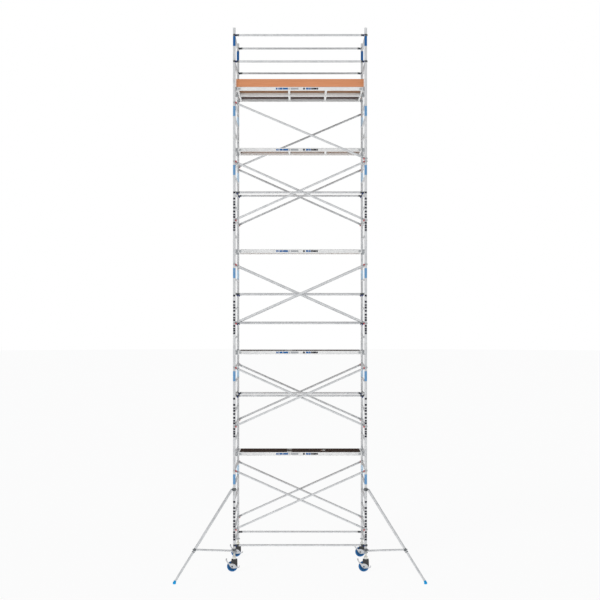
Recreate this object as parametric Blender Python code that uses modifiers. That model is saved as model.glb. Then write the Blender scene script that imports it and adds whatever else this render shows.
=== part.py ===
"""Mobile tower scaffold: ladder frames, braces, platforms, castors and stabilisers.

Units are metres and +Z is up. The floor is z = 0, and the origin is the centre of the
footprint: the tower stands behind it because its two stabilisers reach forward, to -Y.
Left and right are -X and +X, front and rear are -Y and +Y.
"""

import math

import bmesh
import bpy
from mathutils import Matrix, Vector

# Tower
BAY_LENGTH = 2.50            # between the posts' axes, along X
BAY_WIDTH = 1.35             # between the posts' axes, along Y
RUNG_PITCH = 0.28
TALL_FRAME_RUNGS = 7
TALL_FRAMES = 4
SHORT_FRAME_RUNGS = 4
POST_RADIUS = 0.0254
POST_WALL = 0.0022
RUNG_RADIUS = 0.019
SPIGOT_LENGTH = 0.12
SPIGOT_ROOT = 0.06           # solid top of a post that holds its spigot
GAP = 0.0003                 # between pieces that touch

# Castors
WHEEL_RADIUS = 0.10
TYRE_HALF_WIDTH = 0.023
HUB_RADIUS = 0.022
TRAIL = 0.038                # from the swivel axis to the axle, along -X
AXLE_RADIUS = 0.006
FORK_INNER = 0.030           # from the wheel's middle to a fork plate
FORK_PLATE = 0.006
WHEEL_TO_CROWN = 0.015
CROWN_THICKNESS = 0.0247
CROWN_REAR = 0.052           # crown's ends, from the swivel axis, along X
CROWN_FRONT = 0.056
KINGPIN_RADIUS = 0.008
KINGPIN_HEAD = 0.009
KINGPIN_HEAD_RADIUS = 0.0128
CUP_RADIUS = 0.039
CUP_HEIGHT = 0.06
SPINDLE_RADIUS = 0.019
SPINDLE_SHOWING = 0.045      # between the bearing cup and the adjusting nut
SPINDLE_INSIDE = 0.47        # from the adjusting nut's foot to the spindle's top
NUT_HEIGHT = 0.035
NUT_RADIUS = 0.034
AXLE_REAR = 0.045            # axle's ends, from the wheel's middle
AXLE_FRONT = 0.052
AXLE_NUT_RADIUS = 0.0108
FORK_TO_BRAKE = 0.0025       # between the fork and the brake plate
PEDAL_PLATE = 0.004
PEDAL_HEIGHT = 0.007
PEDAL_DEPTH = 0.022
TAB_THICKNESS = 0.006
TAB_HEIGHT = 0.028

# Braces and rails
BRACE_RADIUS = 0.020
BRACE_WELD = 0.001           # depth by which two crossing tubes meet
CLAW_WALL = 0.0106
CLAW_HEIGHT = 0.05
CLAW_MOUTH_CLEARANCE = 0.0005
BRACE_LOW_RUNG = 1           # rungs of a tall frame that a cross brace joins, from 0
BRACE_HIGH_RUNG = 5
TOP_BRACE_RUNG = 2           # rung of the short frame that the top braces reach
CLAW_SPACING = 0.004         # between two claws on one post
BASE_RAIL_RISE = 0.12        # over the posts' foot
MID_RAIL_RUNGS = {2: (3,), 3: (1, 3), 4: (3,)}     # rungs with rails, for each tall frame
MID_RAIL_FROM_DECK = 0.05    # from a deck's side to a rail's axis, in plan
RAIL_CLAW_WALL = 0.012
RAIL_CLAW_MOUTH = 0.012
GUARDRAIL_RISES = (0.50, 1.00)                     # over the top deck's rung
REAR_RAIL_LIFT = 0.04        # of the rear guardrails over the front ones
GUARDRAIL_POST = 1.00

# Platforms
DECK_END_GAP = 0.055         # from the rung's axis to the deck's end
PLATFORM_CLEARANCE = 0.0196  # between a post and a top platform, in plan
PLATFORM_SEAM = 0.06         # between the two top platforms
BEAM_HEIGHT = 0.070
BEAM_WIDTH = 0.025
DECK_THICKNESS = 0.012
CROSS_MEMBER = 0.04
HATCH_START = -0.19          # clear opening of the trapdoor, along X
HATCH_END = 0.48
HATCH_LEDGE = 0.015
HOOK_THICKNESS = 0.0057
TOE_BOARD_HEIGHT = 0.15
TOE_BOARD_THICKNESS = 0.025
TOE_BOARD_END_GAP = 0.0076

# Stabilisers
STABILISER_REACH = 1.457     # from the post's axis to the foot's middle, in plan
COUPLER_UNDER_RUNG = 0.08
COUPLER_RUNG = 4
COUPLER_HEIGHT = 0.062
COUPLER_WALL = 0.0146
LOWER_COUPLER_RISE = 0.03    # over the post's foot
LOWER_COUPLER_HEIGHT = 0.044
LEG_START = 0.06             # from the post's axis to the outer tube's upper end, in plan
OUTER_TUBE_RADIUS = 0.025
INNER_TUBE_RADIUS = 0.0215
NECK_RADIUS = 0.020          # between the upper coupler and the outer tube
ARM_RADIUS = 0.019
COLLAR_RISE = 0.55           # height of the collar's middle
COLLAR_WALL = 0.009
COLLAR_LENGTH = 0.07
OUTER_TUBE_PAST_COLLAR = 0.042
BORE_START = 0.25            # along the outer tube
INNER_TUBE_START = 0.80
FOOT_RADIUS = 0.032
FOOT_HEIGHT = 0.045
FOOT_SEAT = 0.030            # height at which the inner tube's axis ends in the foot

ROUND_SIDES = 8
RUNG_SIDES = 8
WHEEL_SIDES = 16
SMOOTH_ANGLE = math.radians(46)

# Worked out from the dimensions above
BORE_RADIUS = POST_RADIUS - POST_WALL
CROWN_FOOT = 2 * WHEEL_RADIUS + WHEEL_TO_CROWN
CUP_FOOT = CROWN_FOOT + CROWN_THICKNESS + GAP
NUT_FOOT = CUP_FOOT + CUP_HEIGHT + SPINDLE_SHOWING
POST_FOOT = NUT_FOOT + NUT_HEIGHT
END_OFFSET = RUNG_PITCH / 2
TALL_FRAME_HEIGHT = TALL_FRAME_RUNGS * RUNG_PITCH
SHORT_FRAME_FOOT = POST_FOOT + TALL_FRAMES * TALL_FRAME_HEIGHT
GUARDRAIL_FRAME_FOOT = SHORT_FRAME_FOOT + SHORT_FRAME_RUNGS * RUNG_PITCH
TOP_RUNG = GUARDRAIL_FRAME_FOOT - END_OFFSET
PLATFORM_EDGE = POST_RADIUS + PLATFORM_CLEARANCE
PLATFORM_WIDTH = (BAY_WIDTH - 2 * PLATFORM_EDGE - PLATFORM_SEAM) / 2
DECK_RISE = RUNG_RADIUS + GAP + HOOK_THICKNESS      # deck's top over the rung's axis
DECK_HALF_LENGTH = BAY_LENGTH / 2 - DECK_END_GAP
CLAW_MOUTH = RUNG_RADIUS + CLAW_MOUTH_CLEARANCE
BRACE_OFFSET = BRACE_RADIUS * math.cos(math.pi / ROUND_SIDES) - BRACE_WELD   # from the posts' plane
FORK_OUTER = FORK_INNER + FORK_PLATE
FOOT_OUT = STABILISER_REACH * math.sqrt(0.5)
FRONT_REACH = BAY_WIDTH / 2 + FOOT_OUT + FOOT_RADIUS * math.cos(math.pi / ROUND_SIDES)
REAR_REACH = BAY_WIDTH / 2 + AXLE_REAR
TOWER_Y = (FRONT_REACH - REAR_REACH) / 2            # the tower's middle plane

SIDES = {"left": -1, "right": 1}
FACES = {"front": -1, "rear": 1}


def clear_scene():
    """Remove every object of the scene and make the two collections."""
    for item in list(bpy.data.objects):
        bpy.data.objects.remove(item, do_unlink=True)
    for name in ("Tower scaffold", "Cutters"):
        collection = bpy.data.collections.new(name)
        bpy.context.scene.collection.children.link(collection)


def make_material(name, color, roughness, metallic):
    """Return a Principled material."""
    material = bpy.data.materials.new(name)
    material.use_nodes = True
    shader = material.node_tree.nodes["Principled BSDF"]
    shader.inputs["Base Color"].default_value = (*color, 1.0)
    shader.inputs["Roughness"].default_value = roughness
    shader.inputs["Metallic"].default_value = metallic
    return material


# Shapes: each returns a function that adds one closed shape to a bmesh


def cylinder(start, end, radius, sides=ROUND_SIDES, corners_on_axes=False):
    """A closed cylinder between two points, with flats, or corners, facing along the axes."""
    start, end = Vector(start), Vector(end)
    first = 0 if corners_on_axes else math.pi / sides

    def add(shape):
        along = end - start
        turn = along.to_track_quat("Z", "Y").to_matrix().to_4x4()
        turn = turn @ Matrix.Rotation(first, 4, "Z")
        bmesh.ops.create_cone(
            shape,
            cap_ends=True,
            segments=sides,
            radius1=radius,
            radius2=radius,
            depth=along.length,
            matrix=Matrix.Translation((start + end) / 2) @ turn,
        )

    return add


def box(low, high):
    """A box between its lowest and highest corners."""
    low, high = Vector(low), Vector(high)

    def add(shape):
        matrix = Matrix.Translation((low + high) / 2) @ Matrix.Diagonal((*(high - low), 1.0))
        bmesh.ops.create_cube(shape, size=1.0, matrix=matrix)

    return add


def plate(outline, front, rear):
    """A flat outline in X and Z, given as points, between two values of Y."""

    def add(shape):
        curve = bpy.data.curves.new("outline", "CURVE")
        curve.dimensions = "2D"
        curve.fill_mode = "BOTH"
        curve.extrude = (rear - front) / 2
        spline = curve.splines.new("POLY")
        spline.points.add(len(outline) - 1)
        for point, (x, z) in zip(spline.points, outline):
            point.co = (x, z, 0.0, 1.0)
        spline.use_cyclic_u = True
        holder = bpy.data.objects.new("outline", curve)
        bpy.context.scene.collection.objects.link(holder)
        depsgraph = bpy.context.evaluated_depsgraph_get()
        mesh = bpy.data.meshes.new_from_object(holder.evaluated_get(depsgraph))
        upright = Matrix.Translation((0, (front + rear) / 2, 0)) @ Matrix.Rotation(math.pi / 2, 4, "X")
        mesh.transform(upright)
        flat = bmesh.new()
        flat.from_mesh(mesh)
        bmesh.ops.remove_doubles(flat, verts=flat.verts, dist=1e-6)
        flat.to_mesh(mesh)
        flat.free()
        shape.from_mesh(mesh)
        bpy.data.objects.remove(holder)
        bpy.data.meshes.remove(mesh)

    return add


def mesh_of(name, shapes):
    """Return a mesh that holds the given closed shapes."""
    shape = bmesh.new()
    for add in shapes:
        add(shape)
    mesh = bpy.data.meshes.new(name)
    shape.to_mesh(mesh)
    shape.free()
    return mesh


def new_part(name, material, shapes, place=(0, 0, 0), parent=None):
    """Return a named part made of closed shapes, in its own frame at the given place."""
    body = bpy.data.objects.new(name, mesh_of(name, shapes))
    body.location = place
    body.parent = parent
    body.data.materials.append(material)
    body.data.shade_smooth()
    body.data.set_sharp_from_angle(angle=SMOOTH_ANGLE)
    bpy.data.collections["Tower scaffold"].objects.link(body)
    return body


def combine(body, operation, shapes):
    """Join shapes to a part, or cut them from it; shapes of one call don't overlap."""
    name = f"{body.name}_{operation.lower()}_{len(body.modifiers)}"
    tool = bpy.data.objects.new(name, mesh_of(name, shapes))
    tool.parent = body
    tool.hide_render = True
    tool.display_type = "WIRE"
    bpy.data.collections["Cutters"].objects.link(tool)
    boolean = body.modifiers.new(name, "BOOLEAN")
    boolean.operation = operation
    boolean.object = tool
    boolean.solver = "EXACT"


def turned_part(name, material, profile, closed, parent):
    """Return a part turned about its own Z axis from (radius, height) points."""
    mesh = bpy.data.meshes.new(name)
    count = len(profile)
    edges = [(i, i + 1) for i in range(count - 1)]
    if closed:
        edges.append((count - 1, 0))
    mesh.from_pydata([(radius, 0.0, height) for radius, height in profile], edges, [])
    mesh.materials.append(material)
    body = bpy.data.objects.new(name, mesh)
    body.parent = parent
    bpy.data.collections["Tower scaffold"].objects.link(body)
    screw = body.modifiers.new("turned", "SCREW")
    screw.steps = ROUND_SIDES
    screw.render_steps = ROUND_SIDES
    screw.use_merge_vertices = True
    screw.merge_threshold = 1e-5
    return body


def axis_empty(name, place, parent=None):
    """Return an empty that marks a joint's axis."""
    empty = bpy.data.objects.new(name, None)
    empty.location = place
    empty.parent = parent
    empty.empty_display_size = 0.1
    bpy.data.collections["Tower scaffold"].objects.link(empty)
    return empty


def around_flats(radius, clearance, sides=ROUND_SIDES):
    """Radius of a hole of the same facets as a bar that doesn't turn in it."""
    return radius + clearance / math.cos(math.pi / sides)


def around_turning(radius, clearance, sides=ROUND_SIDES):
    """Radius of a faceted hole whose flats clear a bar that turns in it."""
    return (radius + clearance) / math.cos(math.pi / sides)


# Frames


def tall_frame_foot(number):
    """Height of the post ends of tall frame 1 to TALL_FRAMES."""
    return POST_FOOT + (number - 1) * TALL_FRAME_HEIGHT


def rung_height(number, rung):
    """Height of a rung of a tall frame, counted from 0."""
    return tall_frame_foot(number) + END_OFFSET + rung * RUNG_PITCH


def new_frame(name, material, side, foot, height, rungs, spigot):
    """Return a frame: two hollow posts with rungs at the given heights over its foot."""
    half = BAY_WIDTH / 2
    ends = (-half, half)
    top = height - GAP
    posts = [cylinder((0, y, 0), (0, y, top), POST_RADIUS) for y in ends]
    place = (side * BAY_LENGTH / 2, TOWER_Y, foot)
    frame = new_part(name, material, posts, place)
    additions = [cylinder((0, -half, z), (0, half, z), RUNG_RADIUS, RUNG_SIDES) for z in rungs]
    bore_top = top - SPIGOT_ROOT
    if spigot:
        spigot_radius = BORE_RADIUS - GAP / math.cos(math.pi / ROUND_SIDES)
        spigot_foot = top - SPIGOT_ROOT / 2
        additions += [
            cylinder((0, y, spigot_foot), (0, y, top + SPIGOT_LENGTH), spigot_radius) for y in ends
        ]
    combine(frame, "UNION", additions)
    bores = [cylinder((0, y, -0.01), (0, y, bore_top), BORE_RADIUS) for y in ends]
    combine(frame, "DIFFERENCE", bores)
    return frame


def add_adjusting_nuts(frame):
    """Join the nuts that carry the castor legs to the foot of a base frame."""
    ends = (-BAY_WIDTH / 2, BAY_WIDTH / 2)
    overlap = 0.001
    nuts = [cylinder((0, y, -NUT_HEIGHT), (0, y, overlap), NUT_RADIUS, 6) for y in ends]
    combine(frame, "UNION", nuts)
    hole = around_flats(SPINDLE_RADIUS, GAP)
    holes = [cylinder((0, y, -NUT_HEIGHT - 0.01), (0, y, 2 * overlap), hole) for y in ends]
    combine(frame, "DIFFERENCE", holes)


def add_mid_rail(frame, side, face, height):
    """Join a rail to a frame's rung; its other claw hooks over the far frame's rung."""
    y = face * (PLATFORM_WIDTH / 2 + MID_RAIL_FROM_DECK)
    far = -side * BAY_LENGTH
    half_claw = CLAW_HEIGHT / 2
    claw = RUNG_RADIUS + RAIL_CLAW_WALL
    combine(frame, "UNION", [cylinder((0, y, height), (far, y, height), BRACE_RADIUS)])
    claws = [
        cylinder((x, y - half_claw, height), (x, y + half_claw, height), claw) for x in (0, far)
    ]
    combine(frame, "UNION", claws)
    past = 2 * half_claw
    hole = around_flats(RUNG_RADIUS, GAP, RUNG_SIDES)
    rung = cylinder((far, y - past, height), (far, y + past, height), hole, RUNG_SIDES)
    combine(frame, "DIFFERENCE", [rung])
    mouth = box(
        (far - RAIL_CLAW_MOUTH, y - past, height - past),
        (far + RAIL_CLAW_MOUTH, y + past, height),
    )
    combine(frame, "DIFFERENCE", [mouth])


def build_frames(material):
    """Make the left and right stacks of frames."""
    tall_rungs = [END_OFFSET + i * RUNG_PITCH for i in range(TALL_FRAME_RUNGS)]
    guardrails = [TOP_RUNG + rise - GUARDRAIL_FRAME_FOOT for rise in GUARDRAIL_RISES]
    for side_name, side in SIDES.items():
        for number in range(1, TALL_FRAMES + 1):
            name = f"{side_name}_base_frame" if number == 1 else f"{side_name}_frame_{number}"
            foot = tall_frame_foot(number)
            frame = new_frame(name, material, side, foot, TALL_FRAME_HEIGHT, tall_rungs, True)
            if number == 1:
                add_adjusting_nuts(frame)
            for rung in MID_RAIL_RUNGS.get(number, ()):
                face = FACES["front"] if side_name == "left" else FACES["rear"]
                add_mid_rail(frame, side, face, tall_rungs[rung])
        short_rungs = tall_rungs[:SHORT_FRAME_RUNGS]
        short_height = SHORT_FRAME_RUNGS * RUNG_PITCH
        name = f"{side_name}_short_frame"
        new_frame(name, material, side, SHORT_FRAME_FOOT, short_height, short_rungs, True)
        name = f"{side_name}_guardrail_frame"
        new_frame(name, material, side, GUARDRAIL_FRAME_FOOT, GUARDRAIL_POST, guardrails, False)


# Braces and rails between the posts


def add_claws(brace, face, heights):
    """Join claws to a brace's ends, each open towards the rungs and closed round its post."""
    claw = POST_RADIUS + CLAW_WALL
    half = CLAW_HEIGHT / 2
    reach = 2 * CLAW_HEIGHT
    hole = around_flats(POST_RADIUS, GAP)
    claws, posts, mouths = [], [], []
    for side, z in heights:
        x = side * BAY_LENGTH / 2
        inward = -face * reach
        claws.append(cylinder((x, 0, z - half), (x, 0, z + half), claw))
        posts.append(cylinder((x, 0, z - reach), (x, 0, z + reach), hole))
        low = (x - CLAW_MOUTH, min(0, inward), z - reach)
        high = (x + CLAW_MOUTH, max(0, inward), z + reach)
        mouths.append(box(low, high))
    combine(brace, "UNION", claws)
    combine(brace, "DIFFERENCE", posts)
    combine(brace, "DIFFERENCE", mouths)


def brace_tube(low, high, rising_side, offset):
    """The tube of a diagonal that rises towards one side."""
    half = BAY_LENGTH / 2
    start = (-rising_side * half, offset, low)
    end = (rising_side * half, offset, high)
    return cylinder(start, end, BRACE_RADIUS)


def build_cross_brace(name, material, face, low, high):
    """Make two crossing diagonals, joined where they touch at their middle."""
    place = (0, TOWER_Y + face * BAY_WIDTH / 2, 0)
    brace = new_part(name, material, [brace_tube(low, high, 1, -BRACE_OFFSET)], place)
    combine(brace, "UNION", [brace_tube(low, high, -1, BRACE_OFFSET)])
    add_claws(brace, face, [(side, z) for side in (-1, 1) for z in (low, high)])


def build_single_brace(name, material, face, low, high, rising_side):
    """Make one diagonal with its two claws."""
    place = (0, TOWER_Y + face * BAY_WIDTH / 2, 0)
    brace = new_part(name, material, [brace_tube(low, high, rising_side, 0)], place)
    add_claws(brace, face, [(-rising_side, low), (rising_side, high)])


def build_braces(material):
    """Make the diagonals, the base rails and the top guardrails of both faces."""
    top_low = rung_height(TALL_FRAMES, BRACE_HIGH_RUNG) + CLAW_HEIGHT + CLAW_SPACING
    top_high = SHORT_FRAME_FOOT + END_OFFSET + TOP_BRACE_RUNG * RUNG_PITCH
    for face_name, face in FACES.items():
        for number in range(1, TALL_FRAMES + 1):
            low = rung_height(number, BRACE_LOW_RUNG)
            high = rung_height(number, BRACE_HIGH_RUNG)
            build_cross_brace(f"{face_name}_cross_brace_{number}", material, face, low, high)
        build_single_brace(f"{face_name}_top_brace", material, face, top_low, top_high, face)
        over = TOP_RUNG + (REAR_RAIL_LIFT if face_name == "rear" else 0)
        rails = {
            "base_rail": POST_FOOT + BASE_RAIL_RISE,
            "mid_guardrail": over + GUARDRAIL_RISES[0],
            "top_guardrail": over + GUARDRAIL_RISES[1],
        }
        for rail_name, z in rails.items():
            build_single_brace(f"{face_name}_{rail_name}", material, face, z, z, 1)


# Platforms, hatches and toe boards


def hook_outline(side):
    """Outline of a hook that passes over a rung, from the deck's end, in X and Z."""
    rung = BAY_LENGTH / 2
    into_beam = DECK_HALF_LENGTH - HOOK_THICKNESS
    inner = RUNG_RADIUS + GAP
    crest = RUNG_RADIUS * math.cos(math.pi / RUNG_SIDES) + GAP
    drop = -0.5 * RUNG_RADIUS
    tip = inner + HOOK_THICKNESS
    points = [
        (into_beam, drop),
        (rung - inner, drop),
        (rung - inner, crest),
        (rung + inner, crest),
        (rung + inner, drop),
        (rung + tip, drop),
        (rung + tip, DECK_RISE),
        (into_beam, DECK_RISE),
    ]
    return [(side * x, z) for x, z in points]


def build_platform(name, middle, rung, beam_material, hatch_material, has_hatch):
    """Make a platform that hooks over the rungs, and its trapdoor."""
    half_width = PLATFORM_WIDTH / 2
    place = (0, TOWER_Y + middle, rung)
    foot = DECK_RISE - BEAM_HEIGHT
    under_deck = DECK_RISE - DECK_THICKNESS
    inside = half_width - BEAM_WIDTH
    slab = box((-DECK_HALF_LENGTH, -half_width, foot), (DECK_HALF_LENGTH, half_width, DECK_RISE))
    platform = new_part(name, beam_material, [slab], place)
    bays = [
        (-DECK_HALF_LENGTH + CROSS_MEMBER, HATCH_START - CROSS_MEMBER),
        (HATCH_START, HATCH_END),
        (HATCH_END + CROSS_MEMBER, DECK_HALF_LENGTH - CROSS_MEMBER),
    ]
    pockets = [box((x0, -inside, foot - 0.01), (x1, inside, under_deck - GAP)) for x0, x1 in bays]
    combine(platform, "DIFFERENCE", pockets)
    lid_low = (HATCH_START - HATCH_LEDGE, -inside, under_deck)
    lid_high = (HATCH_END + HATCH_LEDGE, inside, DECK_RISE)
    if has_hatch:
        gap = Vector((GAP, GAP, GAP))
        recess_high = Vector(lid_high) + Vector((GAP, GAP, 0.01))
        combine(platform, "DIFFERENCE", [box(Vector(lid_low) - gap, recess_high)])
        hinge = axis_empty(f"{name}_hatch_hinge", (lid_low[0], place[1], rung + DECK_RISE))
        lid_length = lid_high[0] - lid_low[0]
        lid = box((0, -inside, -DECK_THICKNESS), (lid_length, inside, 0))
        new_part(f"{name}_hatch", hatch_material, [lid], parent=hinge)
    hooks = []
    for side in (-1, 1):
        for beam in (-half_width, half_width - BEAM_WIDTH):
            hooks.append(plate(hook_outline(side), beam, beam + BEAM_WIDTH))
    combine(platform, "UNION", hooks)


def build_platforms(beam_material, hatch_material):
    """Make the platforms inside the tower and the two side by side on top."""
    for number in range(1, TALL_FRAMES + 1):
        rung = rung_height(number, TALL_FRAME_RUNGS - 1)
        build_platform(f"platform_{number}", 0, rung, beam_material, hatch_material, True)
    for face_name, face in FACES.items():
        middle = face * (PLATFORM_WIDTH + PLATFORM_SEAM) / 2
        has_hatch = face_name == "front"
        name = f"{face_name}_top_platform"
        build_platform(name, middle, TOP_RUNG, beam_material, hatch_material, has_hatch)


def build_toe_boards(material):
    """Make the four boards that stand round the top deck, joined at their corners."""
    edge = PLATFORM_WIDTH + PLATFORM_SEAM / 2
    thick = TOE_BOARD_THICKNESS
    low, high = GAP, GAP + TOE_BOARD_HEIGHT
    reach = BAY_LENGTH / 2 - POST_RADIUS - TOE_BOARD_END_GAP
    outer_x, inner_x = DECK_HALF_LENGTH, DECK_HALF_LENGTH - thick
    end_y = edge - thick / 2            # inside the long boards, which they join
    ends = [
        box((-outer_x, -end_y, low), (-inner_x, end_y, high)),
        box((inner_x, -end_y, low), (outer_x, end_y, high)),
    ]
    boards = new_part("toe_boards", material, ends, (0, TOWER_Y, TOP_RUNG + DECK_RISE))
    long_boards = [
        box((-reach, -edge, low), (reach, -edge + thick, high)),
        box((-reach, edge - thick, low), (reach, edge, high)),
    ]
    combine(boards, "UNION", long_boards)


# Castors


def leg_profile():
    """Outline of a castor's leg: spindle, bearing cup and kingpin, from top to bottom."""
    top = NUT_FOOT + SPINDLE_INSIDE
    cup_top = CUP_FOOT + CUP_HEIGHT
    chamfer = 0.008
    head_top = CROWN_FOOT - GAP
    return [
        (0, top),
        (SPINDLE_RADIUS, top),
        (SPINDLE_RADIUS, cup_top),
        (CUP_RADIUS - chamfer, cup_top),
        (CUP_RADIUS, cup_top - chamfer),
        (CUP_RADIUS, CUP_FOOT),
        (KINGPIN_RADIUS, CUP_FOOT),
        (KINGPIN_RADIUS, head_top),
        (KINGPIN_HEAD_RADIUS, head_top),
        (KINGPIN_HEAD_RADIUS, head_top - KINGPIN_HEAD),
        (0, head_top - KINGPIN_HEAD),
    ]


def wheel_profile():
    """Outline of a wheel with a flat facet to stand on, as (radius, distance along the axle)."""
    facets = math.cos(math.pi / WHEEL_SIDES)
    tread = WHEEL_RADIUS / facets
    shoulder = 0.006
    hub_half = FORK_INNER - 0.0015
    bore = (AXLE_RADIUS + GAP) / facets
    upper = [
        (bore, hub_half),
        (HUB_RADIUS, hub_half),
        (HUB_RADIUS, TYRE_HALF_WIDTH),
        (tread - shoulder, TYRE_HALF_WIDTH),
        (tread, TYRE_HALF_WIDTH - shoulder),
    ]
    lower = [(radius, -y) for radius, y in reversed(upper)]
    return upper + lower


def fork_outline():
    """Outline of a fork plate, in X from the swivel axis and Z from the floor."""
    top = CROWN_FOOT + CROWN_THICKNESS
    waist = 1.65 * WHEEL_RADIUS
    return [
        (-CROWN_REAR, top),
        (-0.060, waist),
        (-TRAIL - 0.026, WHEEL_RADIUS - 0.012),
        (-TRAIL, WHEEL_RADIUS - 0.030),
        (0.030, WHEEL_RADIUS - 0.022),
        (0.062, WHEEL_RADIUS + 0.005),
        (0.060, waist),
        (CROWN_FRONT, top),
    ]


def brake_outline():
    """Outline of the brake plate with its pedal arm and release tab, from the axle."""
    reach = 1.24 * WHEEL_RADIUS
    return [
        (-0.075, 0.048),
        (-1.17 * WHEEL_RADIUS, 1.28 * WHEEL_RADIUS),
        (-1.07 * WHEEL_RADIUS, 1.38 * WHEEL_RADIUS),
        (-0.050, 0.062),
        (0.020, 0.066),
        (0.055, 0.026),
        (reach, 0.0),
        (reach + 0.012, -0.010),
        (reach - 0.010, -0.030),
        (0.0, -0.034),
    ]


def along_axle(front, rear, radius, sides=ROUND_SIDES):
    """A cylinder on a castor's axle line, between two values of Y."""
    return cylinder((-TRAIL, front, WHEEL_RADIUS), (-TRAIL, rear, WHEEL_RADIUS), radius, sides)


def build_castor(name, place, materials):
    """Make a castor: its leg, fork, wheel and brake pedal."""
    castor = axis_empty(f"{name}_swivel", place)
    leg = turned_part(f"{name}_leg", materials["zinc"], leg_profile(), False, castor)
    leg.rotation_euler.z = math.pi / ROUND_SIDES

    crown_top = CROWN_FOOT + CROWN_THICKNESS
    crown = box((-CROWN_REAR, -FORK_OUTER, CROWN_FOOT), (CROWN_FRONT, FORK_OUTER, crown_top))
    fork = new_part(f"{name}_fork", materials["black"], [crown], parent=castor)
    outline = fork_outline()
    sides = [plate(outline, -FORK_OUTER, -FORK_INNER), plate(outline, FORK_INNER, FORK_OUTER)]
    combine(fork, "UNION", sides)
    combine(fork, "UNION", [along_axle(-AXLE_FRONT, AXLE_REAR, AXLE_RADIUS)])
    set_back = 0.001                    # of the nuts from the axle's ends
    front_nut_rear = -(FORK_OUTER + FORK_TO_BRAKE + PEDAL_PLATE + GAP)
    rear_nut_front = FORK_OUTER - set_back
    nuts = [
        along_axle(-AXLE_FRONT + set_back, front_nut_rear, AXLE_NUT_RADIUS, 6),
        along_axle(rear_nut_front, AXLE_REAR - set_back, AXLE_NUT_RADIUS, 6),
    ]
    combine(fork, "UNION", nuts)
    hole = around_turning(KINGPIN_RADIUS, GAP)
    drill = cylinder((0, 0, CROWN_FOOT - 0.01), (0, 0, crown_top + 0.01), hole)
    combine(fork, "DIFFERENCE", [drill])

    axle_line = axis_empty(f"{name}_axle", (-TRAIL, 0, WHEEL_RADIUS), castor)
    wheel = turned_part(f"{name}_wheel", materials["blue"], wheel_profile(), True, axle_line)
    wheel.modifiers["turned"].steps = WHEEL_SIDES
    wheel.modifiers["turned"].render_steps = WHEEL_SIDES
    wheel.rotation_euler = (math.pi / 2, math.pi / WHEEL_SIDES, 0)

    plate_rear = -FORK_OUTER - FORK_TO_BRAKE
    plate_front = plate_rear - PEDAL_PLATE
    brake_plate = plate(brake_outline(), plate_front, plate_rear)
    brake = new_part(f"{name}_brake_pedal", materials["zinc"], [brake_plate], parent=axle_line)
    middle = (plate_front + plate_rear) / 2
    pedal = Vector((-1.11 * WHEEL_RADIUS - 0.012, 0, 1.31 * WHEEL_RADIUS - 0.004))
    tab = Vector((1.27 * WHEEL_RADIUS - 0.004, 0, -0.016))
    across = Vector((0, FORK_OUTER, 0))
    front = Vector((0, middle, 0))
    bars = [
        box(pedal + front, pedal + across + Vector((PEDAL_DEPTH, 0, PEDAL_HEIGHT))),
        box(tab + front, tab + across + Vector((TAB_THICKNESS, 0, TAB_HEIGHT))),
    ]
    combine(brake, "UNION", bars)
    hole = around_turning(AXLE_RADIUS, GAP)
    combine(brake, "DIFFERENCE", [cylinder((0, -0.06, 0), (0, -FORK_OUTER, 0), hole)])


def build_castors(materials):
    """Make the four castors under the posts."""
    for side_name, side in SIDES.items():
        for face_name, face in FACES.items():
            place = (side * BAY_LENGTH / 2, TOWER_Y + face * BAY_WIDTH / 2, 0)
            build_castor(f"{face_name}_{side_name}_castor", place, materials)


# Stabilisers


def build_stabiliser(name, side, materials):
    """Make a stabiliser: the leg that swings on a front post, and its sliding foot tube."""
    post = axis_empty(f"{name}_swing", (side * BAY_LENGTH / 2, TOWER_Y - BAY_WIDTH / 2, 0))
    out = Vector((side, -1, 0)).normalized()
    up = Vector((0, 0, 1))
    coupler = rung_height(1, COUPLER_RUNG) - COUPLER_UNDER_RUNG
    lower = POST_FOOT + LOWER_COUPLER_RISE
    top = out * LEG_START + up * coupler
    foot = out * STABILISER_REACH + up * FOOT_SEAT
    along = (foot - top).normalized()
    collar = top + along * ((coupler - COLLAR_RISE) / -along.z)
    outer_end = collar + along * OUTER_TUBE_PAST_COLLAR
    ring = POST_RADIUS + COUPLER_WALL

    outer_tube = cylinder(top, outer_end, OUTER_TUBE_RADIUS)
    leg = new_part(f"{name}_leg", materials["alloy"], [outer_tube], parent=post)
    rings = [
        cylinder(up * (z - height / 2), up * (z + height / 2), ring)
        for z, height in ((coupler, COUPLER_HEIGHT), (lower, LOWER_COUPLER_HEIGHT))
    ]
    combine(leg, "UNION", [cylinder(up * coupler, top + out * 0.01, NECK_RADIUS)])
    combine(leg, "UNION", rings)
    combine(leg, "UNION", [cylinder(up * lower, collar, ARM_RADIUS)])
    half_collar = along * (COLLAR_LENGTH / 2)
    collar_radius = OUTER_TUBE_RADIUS + COLLAR_WALL
    combine(leg, "UNION", [cylinder(collar - half_collar, collar + half_collar, collar_radius)])
    hole = around_turning(POST_RADIUS, GAP)
    holes = [
        cylinder(up * (z - 2 * ring), up * (z + 2 * ring), hole, ROUND_SIDES, True)
        for z in (coupler, lower)
    ]
    combine(leg, "DIFFERENCE", holes)
    bore = around_flats(INNER_TUBE_RADIUS, GAP)
    combine(leg, "DIFFERENCE", [cylinder(top + along * BORE_START, outer_end + along * 0.1, bore)])

    start = top + along * INNER_TUBE_START
    inner_tube = cylinder(start, foot, INNER_TUBE_RADIUS)
    tube = new_part(f"{name}_foot", materials["alloy"], [inner_tube], parent=post)
    pad = out * STABILISER_REACH
    combine(tube, "UNION", [cylinder(pad, pad + up * FOOT_HEIGHT, FOOT_RADIUS)])


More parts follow.
